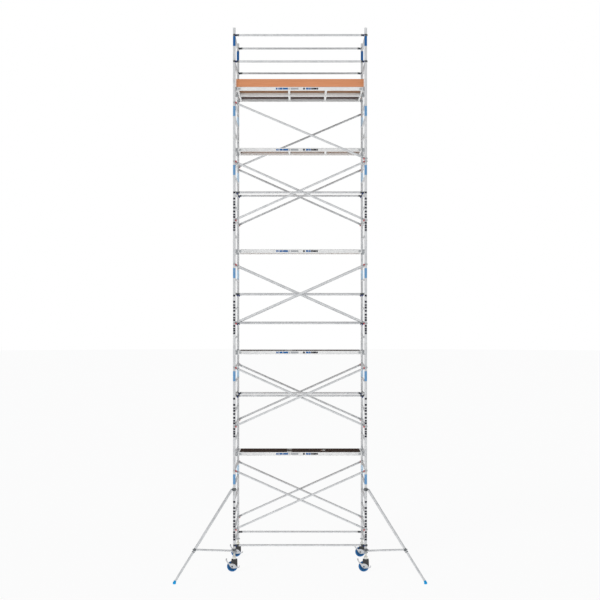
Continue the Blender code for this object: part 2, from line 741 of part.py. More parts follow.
def main():
    """Build the whole tower."""
    clear_scene()
    alloy = make_material("Aluminium", (0.78, 0.79, 0.80), 0.35, 0.9)
    materials = {
        "alloy": alloy,
        "zinc": make_material("Zinc plate", (0.62, 0.61, 0.58), 0.4, 0.9),
        "black": make_material("Black paint", (0.02, 0.02, 0.022), 0.5, 0.0),
        "blue": make_material("Blue tyre", (0.013, 0.16, 0.44), 0.6, 0.0),
    }
    plywood = make_material("Coated plywood", (0.038, 0.016, 0.008), 0.6, 0.0)
    boards = make_material("Toe board plywood", (0.6, 0.25, 0.12), 0.6, 0.0)
    build_frames(alloy)
    build_braces(alloy)
    build_platforms(alloy, plywood)
    build_toe_boards(boards)
    build_castors(materials)
    for side_name, side in SIDES.items():
        build_stabiliser(f"{side_name}_stabiliser", side, materials)


main()
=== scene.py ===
"""Mobile tower scaffold: the looks of its frames, braces, platforms, castors and stabilisers.

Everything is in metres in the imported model's frame: the floor is z = 0, left and right are
-X and +X, front and rear are -Y and +Y. Each sub-assembly is a class that holds its sizes,
models its pieces with Blender's own operators, dresses them and hands them to their bodies.
"""

from __future__ import annotations

import logging
import math
from contextlib import contextmanager
from dataclasses import dataclass, field
from enum import Enum
from typing import Callable, Iterator, Optional, Sequence

import bmesh
import bpy
from mathutils import Matrix, Vector

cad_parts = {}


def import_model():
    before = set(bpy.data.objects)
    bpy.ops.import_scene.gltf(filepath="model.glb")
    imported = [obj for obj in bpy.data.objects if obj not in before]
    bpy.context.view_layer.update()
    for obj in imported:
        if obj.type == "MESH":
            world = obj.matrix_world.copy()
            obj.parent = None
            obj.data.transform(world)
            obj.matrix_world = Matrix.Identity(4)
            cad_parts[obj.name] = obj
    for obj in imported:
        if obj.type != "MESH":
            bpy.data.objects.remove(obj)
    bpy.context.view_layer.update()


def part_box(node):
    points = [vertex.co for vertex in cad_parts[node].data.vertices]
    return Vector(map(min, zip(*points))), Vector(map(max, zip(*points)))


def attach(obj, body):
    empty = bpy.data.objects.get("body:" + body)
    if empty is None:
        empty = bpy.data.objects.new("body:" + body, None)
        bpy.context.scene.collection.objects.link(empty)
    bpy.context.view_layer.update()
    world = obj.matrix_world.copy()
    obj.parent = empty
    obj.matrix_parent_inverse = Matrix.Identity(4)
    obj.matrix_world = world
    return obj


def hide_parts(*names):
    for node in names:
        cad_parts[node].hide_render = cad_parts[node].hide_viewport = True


Piece = bpy.types.Object
Tree = bpy.types.NodeTree
Socket = bpy.types.NodeSocket
Node = bpy.types.Node

LOG = logging.getLogger("tower")
TOWER = "tower"
MM = 0.001
TALL_FRAMES = ("base_frame", "frame_2", "frame_3", "frame_4")
STACKED_FRAMES = (*TALL_FRAMES[1:], "short_frame", "guardrail_frame")


class Side(Enum):
    """The two ends of the tower, along X."""

    LEFT = -1
    RIGHT = 1


class Face(Enum):
    """The two long faces of the tower, along Y."""

    FRONT = -1
    REAR = 1


class Axis(Enum):
    """The direction of a board's thickness."""

    X = 0
    Y = 1
    Z = 2


def linear(code: str) -> tuple[float, float, float, float]:
    """Turn an sRGB hex value into linear colour.

    Args:
        code: Six hex digits, with or without a leading #.

    Returns:
        Red, green, blue and alpha, linear.
    """
    digits = code.lstrip("#")
    channels = []
    for start in (0, 2, 4):
        value = int(digits[start : start + 2], 16) / 255
        channels.append(value / 12.92 if value <= 0.04045 else ((value + 0.055) / 1.055) ** 2.4)
    return (*channels, 1.0)


def add_node(
    tree: Tree, kind: str, settings: Optional[dict] = None, links: Optional[dict] = None
) -> Node:
    """Add a node with its settings and links.

    Args:
        tree: The node tree that gets it.
        kind: The node's type, such as ShaderNodeTexNoise.
        settings: Values by name, of the node itself or else of its sockets.
        links: Sockets that feed it, by the name or number of its input.

    Returns:
        The new node.
    """
    node = tree.nodes.new(kind)
    for key, value in (settings or {}).items():
        if isinstance(key, str) and hasattr(node, key):
            setattr(node, key, value)
        else:
            node.inputs[key].default_value = value
    for key, source in (links or {}).items():
        tree.links.new(source, node.inputs[key])
    return node


def ramp(tree: Tree, value: Socket, colors: Sequence[str], span: Sequence[float]) -> Socket:
    """Add a ramp between two hex colours and return its colour.

    Args:
        tree: The node tree that gets it.
        value: The socket that feeds it.
        colors: The two colours.
        span: The values at which only the first and only the second show.
    """
    node = add_node(tree, "ShaderNodeValToRGB", links={"Fac": value})
    for stop, position, color in zip(node.color_ramp.elements, span, colors):
        stop.position = position
        stop.color = linear(color)
    return node.outputs["Color"]


def spread(tree: Tree, value: Socket, low: float, high: float, top: float = 1.0) -> Socket:
    """Turn a value between 0 and a top one into one between two limits.

    Args:
        tree: The node tree that gets the node.
        value: The socket that feeds it.
        low: What 0 becomes.
        high: What the top value becomes.
        top: The top value.
    """
    settings = {"From Max": top, "To Min": low, "To Max": high}
    return add_node(tree, "ShaderNodeMapRange", settings, {"Value": value}).outputs["Result"]


# Finishes


@dataclass(frozen=True)
class Finish:
    """A finish that drifts between two colours in soft clouds, over a fine skin.

    As it stands it is moulded nylon, rubber or vinyl, with a spark texture and small scuffs.

    Attributes:
        name: The material's name.
        slot: The slot it belongs to; not used.
        colors: The two colours, from low to high cloud values.
        roughness: Its middle roughness.
        cloud: Size of the clouds, in metres.
        span: Cloud values at which only one of the colours shows.
        metallic: How metallic it is.
        sheen_level: How strongly it reflects.
        skin: Size of the skin's texture, in metres.
        drift: How far the skin takes the roughness down and up.
        relief: Height of the skin, in metres.
        strength: How much of the relief shows.
    """

    name: str
    slot: str
    colors: tuple[str, str]
    roughness: float
    cloud: float = 0.05
    span: tuple[float, float] = (0.5, 0.95)
    metallic: float = 0.0
    sheen_level: float = 0.25
    skin: float = 0.9 * MM
    drift: tuple[float, float] = (-0.06, 0.08)
    relief: float = 0.08 * MM
    strength: float = 1.0

    def material(self) -> bpy.types.Material:
        """Return the finish's material, made on first use."""
        made = bpy.data.materials.get(self.name)
        if made is None:
            made = bpy.data.materials.new(self.name)
            made.use_nodes = True
            self.shade(made.node_tree, made.node_tree.nodes["Principled BSDF"])
        return made

    def shade(self, tree: Tree, shader: Node) -> None:
        """Connect the finish's colour, roughness and relief to the shader.

        Args:
            tree: The material's node tree.
            shader: Its Principled shader.
        """
        place = add_node(tree, "ShaderNodeTexCoord")
        tree.links.new(self.base_color(tree, place), shader.inputs["Base Color"])
        shader.inputs["Metallic"].default_value = self.metallic
        shader.inputs["Specular IOR Level"].default_value = self.sheen_level
        shader.inputs["Roughness"].default_value = self.roughness
        height = self.height(tree, place)
        if any(self.drift):
            low, high = (self.roughness + change for change in self.drift)
            rough = spread(tree, height, low, high)
            tree.links.new(rough, shader.inputs["Roughness"])
        if self.relief:
            settings = {"Distance": self.relief, "Strength": self.strength}
            bump = add_node(tree, "ShaderNodeBump", settings, {"Height": height})
            tree.links.new(bump.outputs["Normal"], shader.inputs["Normal"])

    def base_color(self, tree: Tree, place: Node) -> Socket:
        """Return the colour: clouds of the two colours on Object coordinates."""
        settings = {"Scale": 1 / self.cloud, "Detail": 4.0, "Roughness": 0.6}
        links = {"Vector": place.outputs["Object"]}
        clouds = add_node(tree, "ShaderNodeTexNoise", settings, links)
        return ramp(tree, clouds.outputs["Fac"], self.colors, self.span)

    def height(self, tree: Tree, place: Node) -> Socket:
        """Return the skin's height, between 0 and 1."""
        links = {"Vector": place.outputs["Object"]}
        return add_node(tree, "ShaderNodeTexNoise", {"Scale": 1 / self.skin}, links).outputs["Fac"]


@dataclass(frozen=True)
class ExtrudedAluminium(Finish):
    """6082 aluminium as extruded: satin grey, handled, with fine die lines along it."""

    cloud: float = 0.09
    span: tuple[float, float] = (0.28, 0.56)
    metallic: float = 0.2
    sheen_level: float = 0.5
    skin: float = 2.2 * MM
    drift: tuple[float, float] = (-0.1, 0.1)
    relief: float = 0.15 * MM
    strength: float = 0.5
    girth: float = 0.16

    def height(self, tree: Tree, place: Node) -> Socket:
        """Return the die lines; a tube's map runs once round its girth."""
        settings = {"Scale": (self.girth / self.skin, 1.5, 1.0)}
        stretch = add_node(tree, "ShaderNodeMapping", settings, {"Vector": place.outputs["UV"]})
        links = {"Vector": stretch.outputs["Vector"]}
        settings = {"Scale": 1.0, "Detail": 3.0}
        return add_node(tree, "ShaderNodeTexNoise", settings, links).outputs["Fac"]


@dataclass(frozen=True)
class WeldBead(Finish):
    """Aluminium weld: a bright, rippled bead with sooty patches."""

    cloud: float = 0.012
    span: tuple[float, float] = (0.35, 0.65)
    metallic: float = 0.6
    sheen_level: float = 0.5
    skin: float = 2.5 * MM
    drift: tuple[float, float] = (0.0, 0.0)
    relief: float = 0.6 * MM

    def height(self, tree: Tree, place: Node) -> Socket:
        """Return the ripples' height."""
        settings = {"Scale": 0.3 / self.skin, "Distortion": 3.0}
        links = {"Vector": place.outputs["Object"]}
        return add_node(tree, "ShaderNodeTexWave", settings, links).outputs["Fac"]


@dataclass(frozen=True)
class CastMetal(Finish):
    """Die-cast alloy: matt, dusty and faintly pitted."""

    cloud: float = 0.03
    span: tuple[float, float] = (0.45, 0.8)
    metallic: float = 0.25
    sheen_level: float = 0.5
    skin: float = 1.6 * MM
    drift: tuple[float, float] = (-0.08, 0.12)
    relief: float = 0.3 * MM


@dataclass(frozen=True)
class ZincPlate(Finish):
    """Zinc plate on steel: small smooth crystals, each with its own gloss."""

    cloud: float = 0.02
    span: tuple[float, float] = (0.4, 0.75)
    metallic: float = 0.85
    sheen_level: float = 0.5
    skin: float = 5 * MM
    drift: tuple[float, float] = (-0.1, 0.15)
    relief: float = 0.0

    def height(self, tree: Tree, place: Node) -> Socket:
        """Return each crystal's own value."""
        links = {"Vector": place.outputs["Object"]}
        cells = add_node(tree, "ShaderNodeTexVoronoi", {"Scale": 1 / self.skin}, links)
        return cells.outputs["Color"]


@dataclass(frozen=True)
class SprayedPaint(Finish):
    """Powder coat on pressed steel: semi-gloss, dusty, with a slight orange peel."""

    cloud: float = 0.04
    span: tuple[float, float] = (0.45, 0.85)
    sheen_level: float = 0.5
    skin: float = 2.5 * MM
    drift: tuple[float, float] = (-0.08, 0.1)
    relief: float = 0.12 * MM


@dataclass(frozen=True)
class CoatedPlywood(Finish):
    """Film-faced birch plywood: grain shows through the film, and sawn edges show the plies.

    Attributes:
        edge: Colours of the glue and the plies at the edges.
        thickness_axis: The board's thickness.
        grain_axis: The direction of its grain.
        ply: Thickness of a ply, in metres.
        grip: Size of the grip pattern's cells, or 0 for a plain face.
    """

    edge: tuple[str, str] = ("#4C3120", "#8A5C38")
    thickness_axis: Axis = Axis.Z
    grain_axis: Axis = Axis.X
    ply: float = 2.8 * MM
    grip: float = 0.0
    span: tuple[float, float] = (0.3, 0.7)
    sheen_level: float = 0.1
    skin: float = 9 * MM
    drift: tuple[float, float] = (0.0, 0.0)
    relief: float = 0.5 * MM
    strength: float = 0.5

    def fibres(self, tree: Tree, place: Node) -> Socket:
        """Return noise that is drawn out along the grain."""
        scale = [1 / self.skin] * 3
        scale[self.grain_axis.value] = 1 / (40 * self.skin)
        links = {"Vector": place.outputs["Object"]}
        stretch = add_node(tree, "ShaderNodeMapping", {"Scale": scale}, links)
        settings = {"Scale": 1.0, "Detail": 6.0, "Distortion": 0.4}
        links = {"Vector": stretch.outputs["Vector"]}
        return add_node(tree, "ShaderNodeTexNoise", settings, links).outputs["Fac"]

    def base_color(self, tree: Tree, place: Node) -> Socket:
        """Return the grain's colour on the faces and the plies' at the edges."""
        axis = self.thickness_axis.value
        face = ramp(tree, self.fibres(tree, place), self.colors, self.span)
        links = {"Vector": place.outputs["Object"]}
        depth = add_node(tree, "ShaderNodeSeparateXYZ", links=links).outputs[axis]
        settings = {"operation": "PINGPONG", 1: self.ply}
        plies = add_node(tree, "ShaderNodeMath", settings, {0: depth}).outputs["Value"]
        sawn = ramp(tree, spread(tree, plies, 0.0, 1.0, self.ply), self.edge, (0.4, 0.6))
        lie = add_node(tree, "ShaderNodeNewGeometry")
        links = {"Vector": lie.outputs["True Normal"]}
        upright = add_node(tree, "ShaderNodeSeparateXYZ", links=links).outputs[axis]
        square = add_node(tree, "ShaderNodeMath", {"operation": "ABSOLUTE"}, {0: upright})
        settings = {"operation": "GREATER_THAN", 1: 0.5}
        on_face = add_node(tree, "ShaderNodeMath", settings, {0: square.outputs["Value"]})
        links = {"Factor": on_face.outputs["Value"], "A": sawn, "B": face}
        return add_node(tree, "ShaderNodeMix", {"data_type": "RGBA"}, links).outputs["Result"]

    def height(self, tree: Tree, place: Node) -> Socket:
        """Return the height of the grip pattern, or else of the fibres."""
        if not self.grip:
            return self.fibres(tree, place)
        settings = {"Scale": 1 / self.grip, "feature": "DISTANCE_TO_EDGE"}
        links = {"Vector": place.outputs["Object"]}
        return add_node(tree, "ShaderNodeTexVoronoi", settings, links).outputs["Distance"]


ALUMINIUM = ExtrudedAluminium("extruded_aluminium_tube", "aluminium", ("#B0B2B4", "#C3C4C5"), 0.45)
BEAM_ALUMINIUM = ExtrudedAluminium(
    "extruded_aluminium_beam", "aluminium", ("#CFD0D0", "#DBDBDA"), 0.5
)
WELD = WeldBead("aluminium_weld", "aluminium", ("#8C8E90", "#C6C9CB"), 0.5)
CAST = CastMetal("die_cast_claw", "claw_paint", ("#34393A", "#5B5F61"), 0.55)
CAST_LIGHT = CastMetal("die_cast_aluminium", "aluminium", ("#A3A6A8", "#8A8D8F"), 0.5)
COUPLER_CAST = CastMetal("die_cast_coupler", "claw_paint", ("#5E6264", "#808385"), 0.5)
ZINC = ZincPlate("bright_zinc_plate", "zinc", ("#BFC2C4", "#CFC7AC"), 0.34)
DARK_STEEL = ZincPlate("dark_zinc_bolt", "zinc", ("#4A4C4E", "#3A3A38"), 0.4)
BRAKE_ZINC = ZincPlate("zinc_plated_pressing", "zinc", ("#B4B6B8", "#9B9DA0"), 0.3)
FORK_BLACK = SprayedPaint("black_powder_coat", "fork_paint", ("#0C0D0F", "#2C2D30"), 0.38)
TYRE = Finish("blue_polyurethane_tyre", "castor_tyre", ("#155C92", "#10436C"), 0.5)
HUB = Finish("blue_nylon_hub", "castor_tyre", ("#124F80", "#0E3F66"), 0.45)
TRIGGER_RED = Finish("red_nylon_trigger", "trigger_red", ("#B5141B", "#8A1016"), 0.4)
TRIGGER_NAVY = Finish("navy_nylon_trigger", "trigger_navy", ("#182C66", "#101C44"), 0.4)
FOOT = Finish("blue_rubber_foot", "foot_rubber", ("#0096D2", "#0A82B4"), 0.65)
LABEL = Finish("blue_vinyl_sleeve", "label_blue", ("#0F5590", "#1A629C"), 0.5)
LABEL_WORN = Finish("worn_vinyl_sleeve", "label_blue", ("#5C8CB6", "#86A6C2"), 0.5)
LABEL_PALE = Finish("faded_vinyl_sleeve", "label_blue", ("#B4CBDD", "#C9D6E0"), 0.5)
MARK = Finish("dark_vinyl_mark", "label_blue", ("#10131F", "#1C2030"), 0.5)
MARK_GREY = Finish("grey_vinyl_mark", "label_blue", ("#9A9DA0", "#ABAEB0"), 0.5)
TOE_LONG = CoatedPlywood(
    "coated_plywood_toe_board", "toe_board_plywood", ("#C27C50", "#CF8B60"), 0.6,
    edge=("#7A4E2E", "#E0873F"), thickness_axis=Axis.Y, sheen_level=0.5,
)
TOE_END = CoatedPlywood(
    "coated_plywood_end_board", "toe_board_plywood", ("#C27C50", "#CF8B60"), 0.6,
    edge=("#7A4E2E", "#E0873F"), thickness_axis=Axis.X, grain_axis=Axis.Y, sheen_level=0.5,
)
DECK_TOP = CoatedPlywood(
    "phenolic_grip_plywood", "deck_plywood", ("#26170D", "#332013"), 0.9,
    grip=9 * MM, sheen_level=0.08, relief=1.2 * MM, strength=0.7,
)
DECK_UNDER = CoatedPlywood(
    "phenolic_plywood_underside", "deck_plywood", ("#7E5B41", "#936C4E"), 0.8
)
DECK_UNDER_DARK = CoatedPlywood(
    "dark_phenolic_underside", "deck_plywood", ("#3D2A28", "#47312C"), 0.8
)


# Modelling moves


class Bench:
    """The moves by which every sub-assembly is modelled, with Blender's own operators."""

    ROUND = 28
    SMOOTH = math.radians(38)

    @staticmethod
    def clear_selection() -> None:
        """Deselect everything, so that an operator acts on the new piece alone."""
        bpy.ops.object.select_all(action="DESELECT")

    @classmethod
    def hold(cls, piece: Piece) -> None:
        """Select a piece alone and make it active."""
        cls.clear_selection()
        piece.select_set(True)
        bpy.context.view_layer.objects.active = piece

    @classmethod
    def apply(cls, piece: Piece, modifier: bpy.types.Modifier) -> None:
        """Put what a modifier makes of a piece into its mesh."""
        cls.hold(piece)
        bpy.ops.object.modifier_apply(modifier=modifier.name)

    @staticmethod
    @contextmanager
    def editing(piece: Piece) -> Iterator[None]:
        """Hold a piece in edit mode, in face select.

        Args:
            piece: The piece to shape.

        Yields:
            Nothing, while the piece is open.
        """
        bpy.context.view_layer.objects.active = piece
        bpy.ops.object.mode_set(mode="EDIT")
        bpy.ops.mesh.select_mode(type="FACE")
        yield
        bpy.ops.object.mode_set(mode="OBJECT")

    @staticmethod
    def pick(piece: Piece, test: Callable[[Vector, Vector], bool]) -> None:
        """Select the faces whose middle and normal pass a test.

        Args:
            piece: The piece in edit mode.
            test: Says of a face's middle and normal whether it is picked.
        """
        shape = bmesh.from_edit_mesh(piece.data)
        for face in shape.faces:
            face.select_set(False)
        for face in shape.faces:
            if test(face.calc_center_median(), face.normal):
                face.select_set(True)
        shape.select_flush(True)
        bmesh.update_edit_mesh(piece.data)

    @classmethod
    def settle(cls, piece: Piece) -> Piece:
        """Put a piece's place, turn and size into its mesh."""
        cls.hold(piece)
        bpy.ops.object.transform_apply(location=True, rotation=True, scale=True)
        return piece

    @staticmethod
    def turn_to(direction: Vector) -> tuple[float, float, float]:
        """Return the angles that turn +Z to a direction."""
        return tuple(direction.to_track_quat("Z", "Y").to_euler())

    @classmethod
    def rod(
        cls,
        start: Sequence[float],
        end: Sequence[float],
        radius: float,
        sides: int = ROUND,
        soft: float = 0.0,
        wall: float = 0.0,
        depth: float = 0.03,
    ) -> Piece:
        """Model a round bar or tube between two points.

        Args:
            start: One end of its axis.
            end: The other end.
            radius: Its outer radius.
            sides: Its number of facets.
            soft: Width of the chamfer round both ends.
            wall: Wall of a tube, or 0 for a bar.
            depth: How deep a tube is open at its ends.

        Returns:
            The bar or tube, in place.
        """
        start, end = Vector(start), Vector(end)
        along = end - start
        cls.clear_selection()
        bpy.ops.mesh.primitive_cylinder_add(
            vertices=sides,
            radius=radius,
            depth=along.length,
            location=(start + end) / 2,
            rotation=cls.turn_to(along),
        )
        piece = bpy.context.object
        with cls.editing(piece):
            if soft:
                cls.pick(piece, lambda middle, normal: abs(normal.z) > 0.9)
                bpy.ops.mesh.bevel(offset=soft, segments=2, affect="EDGES")
            if wall:
                cls.pick(piece, lambda middle, normal: abs(normal.z) > 0.99)
                bpy.ops.mesh.inset(thickness=wall - soft, use_individual=True)
                bpy.ops.mesh.extrude_region_shrink_fatten(
                    TRANSFORM_OT_shrink_fatten={"value": -depth}
                )
        return cls.settle(piece)

    @classmethod
    def block(
        cls,
        corner: Sequence[float],
        opposite: Sequence[float],
        soft: float = 0.0015,
        segments: int = 2,
    ) -> Piece:
        """Model a block with soft edges between two opposite corners.

        Args:
            corner: One corner.
            opposite: The corner across from it.
            soft: Radius of its edges.
            segments: Facets of that radius.

        Returns:
            The block, in place.
        """
        low, high = (Vector([*map(limit, corner, opposite)]) for limit in (min, max))
        cls.clear_selection()
        bpy.ops.mesh.primitive_cube_add(size=1.0, location=(low + high) / 2, scale=high - low)
        piece = cls.settle(bpy.context.object)
        with cls.editing(piece):
            bpy.ops.mesh.select_all(action="SELECT")
            bpy.ops.mesh.bevel(offset=soft, segments=segments, affect="EDGES")
        return piece

    @classmethod
    def ring(
        cls,
        centre: Sequence[float],
        axis: Sequence[float],
        radius: float,
        thickness: float,
        around: int = ROUND,
        across: int = 8,
    ) -> Piece:
        """Model a round ring.

        Args:
            centre: Its middle.
            axis: The direction of its axis.
            radius: Radius of its centre line.
            thickness: Radius of its section.
            around: Facets round the ring.
            across: Facets round the section.

        Returns:
            The ring, in place.
        """
        cls.clear_selection()
        bpy.ops.mesh.primitive_torus_add(
            major_radius=radius,
            minor_radius=thickness,
            major_segments=around,
            minor_segments=across,
            location=centre,
            rotation=cls.turn_to(Vector(axis)),
        )
        return cls.settle(bpy.context.object)

    @classmethod
    def turned(
        cls,
        foot: Sequence[float],
        axis: Sequence[float],
        profile: Sequence[tuple[float, float]],
        sides: int = ROUND,
    ) -> Piece:
        """Model a turned shape, extruded and scaled from one end to the other.

        Args:
            foot: The point that heights are counted from.
            axis: The direction of the heights.
            profile: Radius and height of each step.
            sides: Its number of facets.

        Returns:
            The shape, in place.
        """
        cls.clear_selection()
        radius, height = profile[0]
        bpy.ops.mesh.primitive_circle_add(
            vertices=sides, radius=radius, fill_type="NGON", location=(0, 0, height)
        )
        piece = cls.settle(bpy.context.object)
        with cls.editing(piece):
            bpy.ops.mesh.select_all(action="SELECT")
            for next_radius, next_height in profile[1:]:
                rise = next_height - height
                bpy.ops.mesh.extrude_region_move(TRANSFORM_OT_translate={"value": (0, 0, rise)})
                ratio = next_radius / radius
                bpy.ops.transform.resize(
                    value=(ratio, ratio, 1), center_override=(0, 0, next_height)
                )
                radius, height = next_radius, next_height
            bpy.ops.mesh.select_all(action="SELECT")
            bpy.ops.mesh.normals_make_consistent(inside=False)
        piece.location = foot
        piece.rotation_euler = cls.turn_to(Vector(axis))
        return cls.settle(piece)

    @classmethod
    def plate(
        cls, outline: Sequence[tuple[float, float]], front: float, rear: float, soft: float = 0.0
    ) -> Piece:
        """Model an upright plate from its outline.

        Args:
            outline: Points in X and Z, in order.
            front: Y of its front face.
            rear: Y of its rear face.
            soft: Width of the chamfer round both faces.

        Returns:
            The plate, in place.
        """
        cls.clear_selection()
        bpy.ops.mesh.primitive_circle_add(
            vertices=len(outline), radius=1.0, fill_type="NGON", location=(0, 0, 0)
        )
        piece = bpy.context.object
        with cls.editing(piece):
            shape = bmesh.from_edit_mesh(piece.data)
            shape.faces.ensure_lookup_table()
            for corner, (x, z) in zip(shape.faces[0].verts, outline):
                corner.co = (x, front, z)
            bmesh.update_edit_mesh(piece.data)
            bpy.ops.mesh.select_all(action="SELECT")
            bpy.ops.mesh.extrude_region_move(TRANSFORM_OT_translate={"value": (0, rear - front, 0)})
            bpy.ops.mesh.select_all(action="SELECT")
            bpy.ops.mesh.normals_make_consistent(inside=False)
            if soft:
                cls.pick(piece, lambda middle, normal: abs(normal.y) > 0.9)
                bpy.ops.mesh.bevel(offset=soft, segments=1, affect="EDGES")
        return piece

    @classmethod
    def copied(
        cls, piece: Piece, move: Sequence[float] = (0, 0, 0), turn: Optional[Matrix] = None
    ) -> Piece:
        """Copy a piece with a mesh of its own, turned about the origin and then moved.

        Args:
            piece: The piece to copy.
            move: How far it moves.
            turn: How it turns or mirrors first.

        Returns:
            The copy.
        """
        copy = piece.copy()
        copy.data = piece.data.copy()
        bpy.context.scene.collection.objects.link(copy)
        matrix = Matrix.Translation(move) @ (turn or Matrix.Identity(4))
        copy.data.transform(matrix)
        if matrix.determinant() < 0:
            copy.data.flip_normals()
        return copy

    @classmethod
    def joined(cls, pieces: Sequence[Piece]) -> Piece:
        """Join pieces into the first one and return it."""
        cls.clear_selection()
        for piece in pieces:
            piece.select_set(True)
        bpy.context.view_layer.objects.active = pieces[0]
        if len(pieces) > 1:
            bpy.ops.object.join()
        return pieces[0]

    @staticmethod
    def discard(*pieces: Piece) -> None:
        """Remove patterns that have been copied to all their places."""
        for piece in pieces:
            bpy.data.objects.remove(piece)

    @staticmethod
    def coat(piece: Piece, finish: Finish) -> Piece:
        """Give a whole piece one finish."""
        piece.data.materials.clear()
        piece.data.materials.append(finish.material())
        return piece

    @classmethod
    def coat_faces(
        cls, piece: Piece, finish: Finish, test: Callable[[Vector, Vector], bool]
    ) -> None:
        """Give some faces of a coated piece a second finish.

        Args:
            piece: The piece, which has its first finish.
            finish: The second finish.
            test: Says of a face's middle and normal whether it gets it.
        """
        piece.data.materials.append(finish.material())
        cls.clear_selection()
        piece.select_set(True)
        with cls.editing(piece):
            cls.pick(piece, test)
            piece.active_material_index = len(piece.data.materials) - 1
            bpy.ops.object.material_slot_assign()

    @classmethod
    def hand_over(
        cls,
        piece: Piece,
        name: str,
        body: str,
        finish: Finish,
        nodes: Sequence[str] = (),
        coated: bool = False,
    ) -> Piece:
        """Name, dress and smooth a finished piece, and let it ride on its body.

        Args:
            piece: The finished piece.
            name: Its name.
            body: The body that carries it.
            finish: Its finish.
            nodes: The model's nodes that it stands for.
            coated: Whether its materials are already in place.

        Returns:
            The piece.
        """
        piece.name = name
        piece.data.name = name
        if not coated:
            cls.coat(piece, finish)
        cls.hold(piece)
        bpy.ops.object.shade_smooth_by_angle(angle=cls.SMOOTH)
        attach(piece, body)
        if nodes:
            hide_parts(*nodes)
        LOG.info("%s: %d faces on %s", name, len(piece.data.polygons), body)
        return piece


@dataclass
class Layout:
    """The tower's main lines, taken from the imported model."""

    post_x: float
    middle_y: float
    half_width: float
    top_rung: float
    post_radius: float = 0.0254
    rung_radius: float = 0.019
    rung_pitch: float = 0.28
    first_rung: float = 0.14
    feet: dict[str, float] = field(default_factory=dict)

    @classmethod
    def from_model(cls) -> Layout:
        """Measure the model's frames.

        Returns:
            The layout that every sub-assembly is placed by.
        """
        low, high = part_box("right_guardrail_frame")
        flats = cls.post_radius * math.cos(math.pi / 8)
        feet = {name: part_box(f"right_{name}")[0].z for name in STACKED_FRAMES}
        feet["base_frame"] = feet["frame_2"] - (feet["frame_3"] - feet["frame_2"])
        return cls(
            post_x=(low.x + high.x) / 2,
            middle_y=(low.y + high.y) / 2,
            half_width=(high.y - low.y) / 2 - flats,
            top_rung=feet["guardrail_frame"] - cls.rung_pitch / 2,
            feet=feet,
        )

    def post(self, side: Side, face: Face) -> tuple[float, float]:
        """Return X and Y of a post's axis."""
        return side.value * self.post_x, self.middle_y + face.value * self.half_width


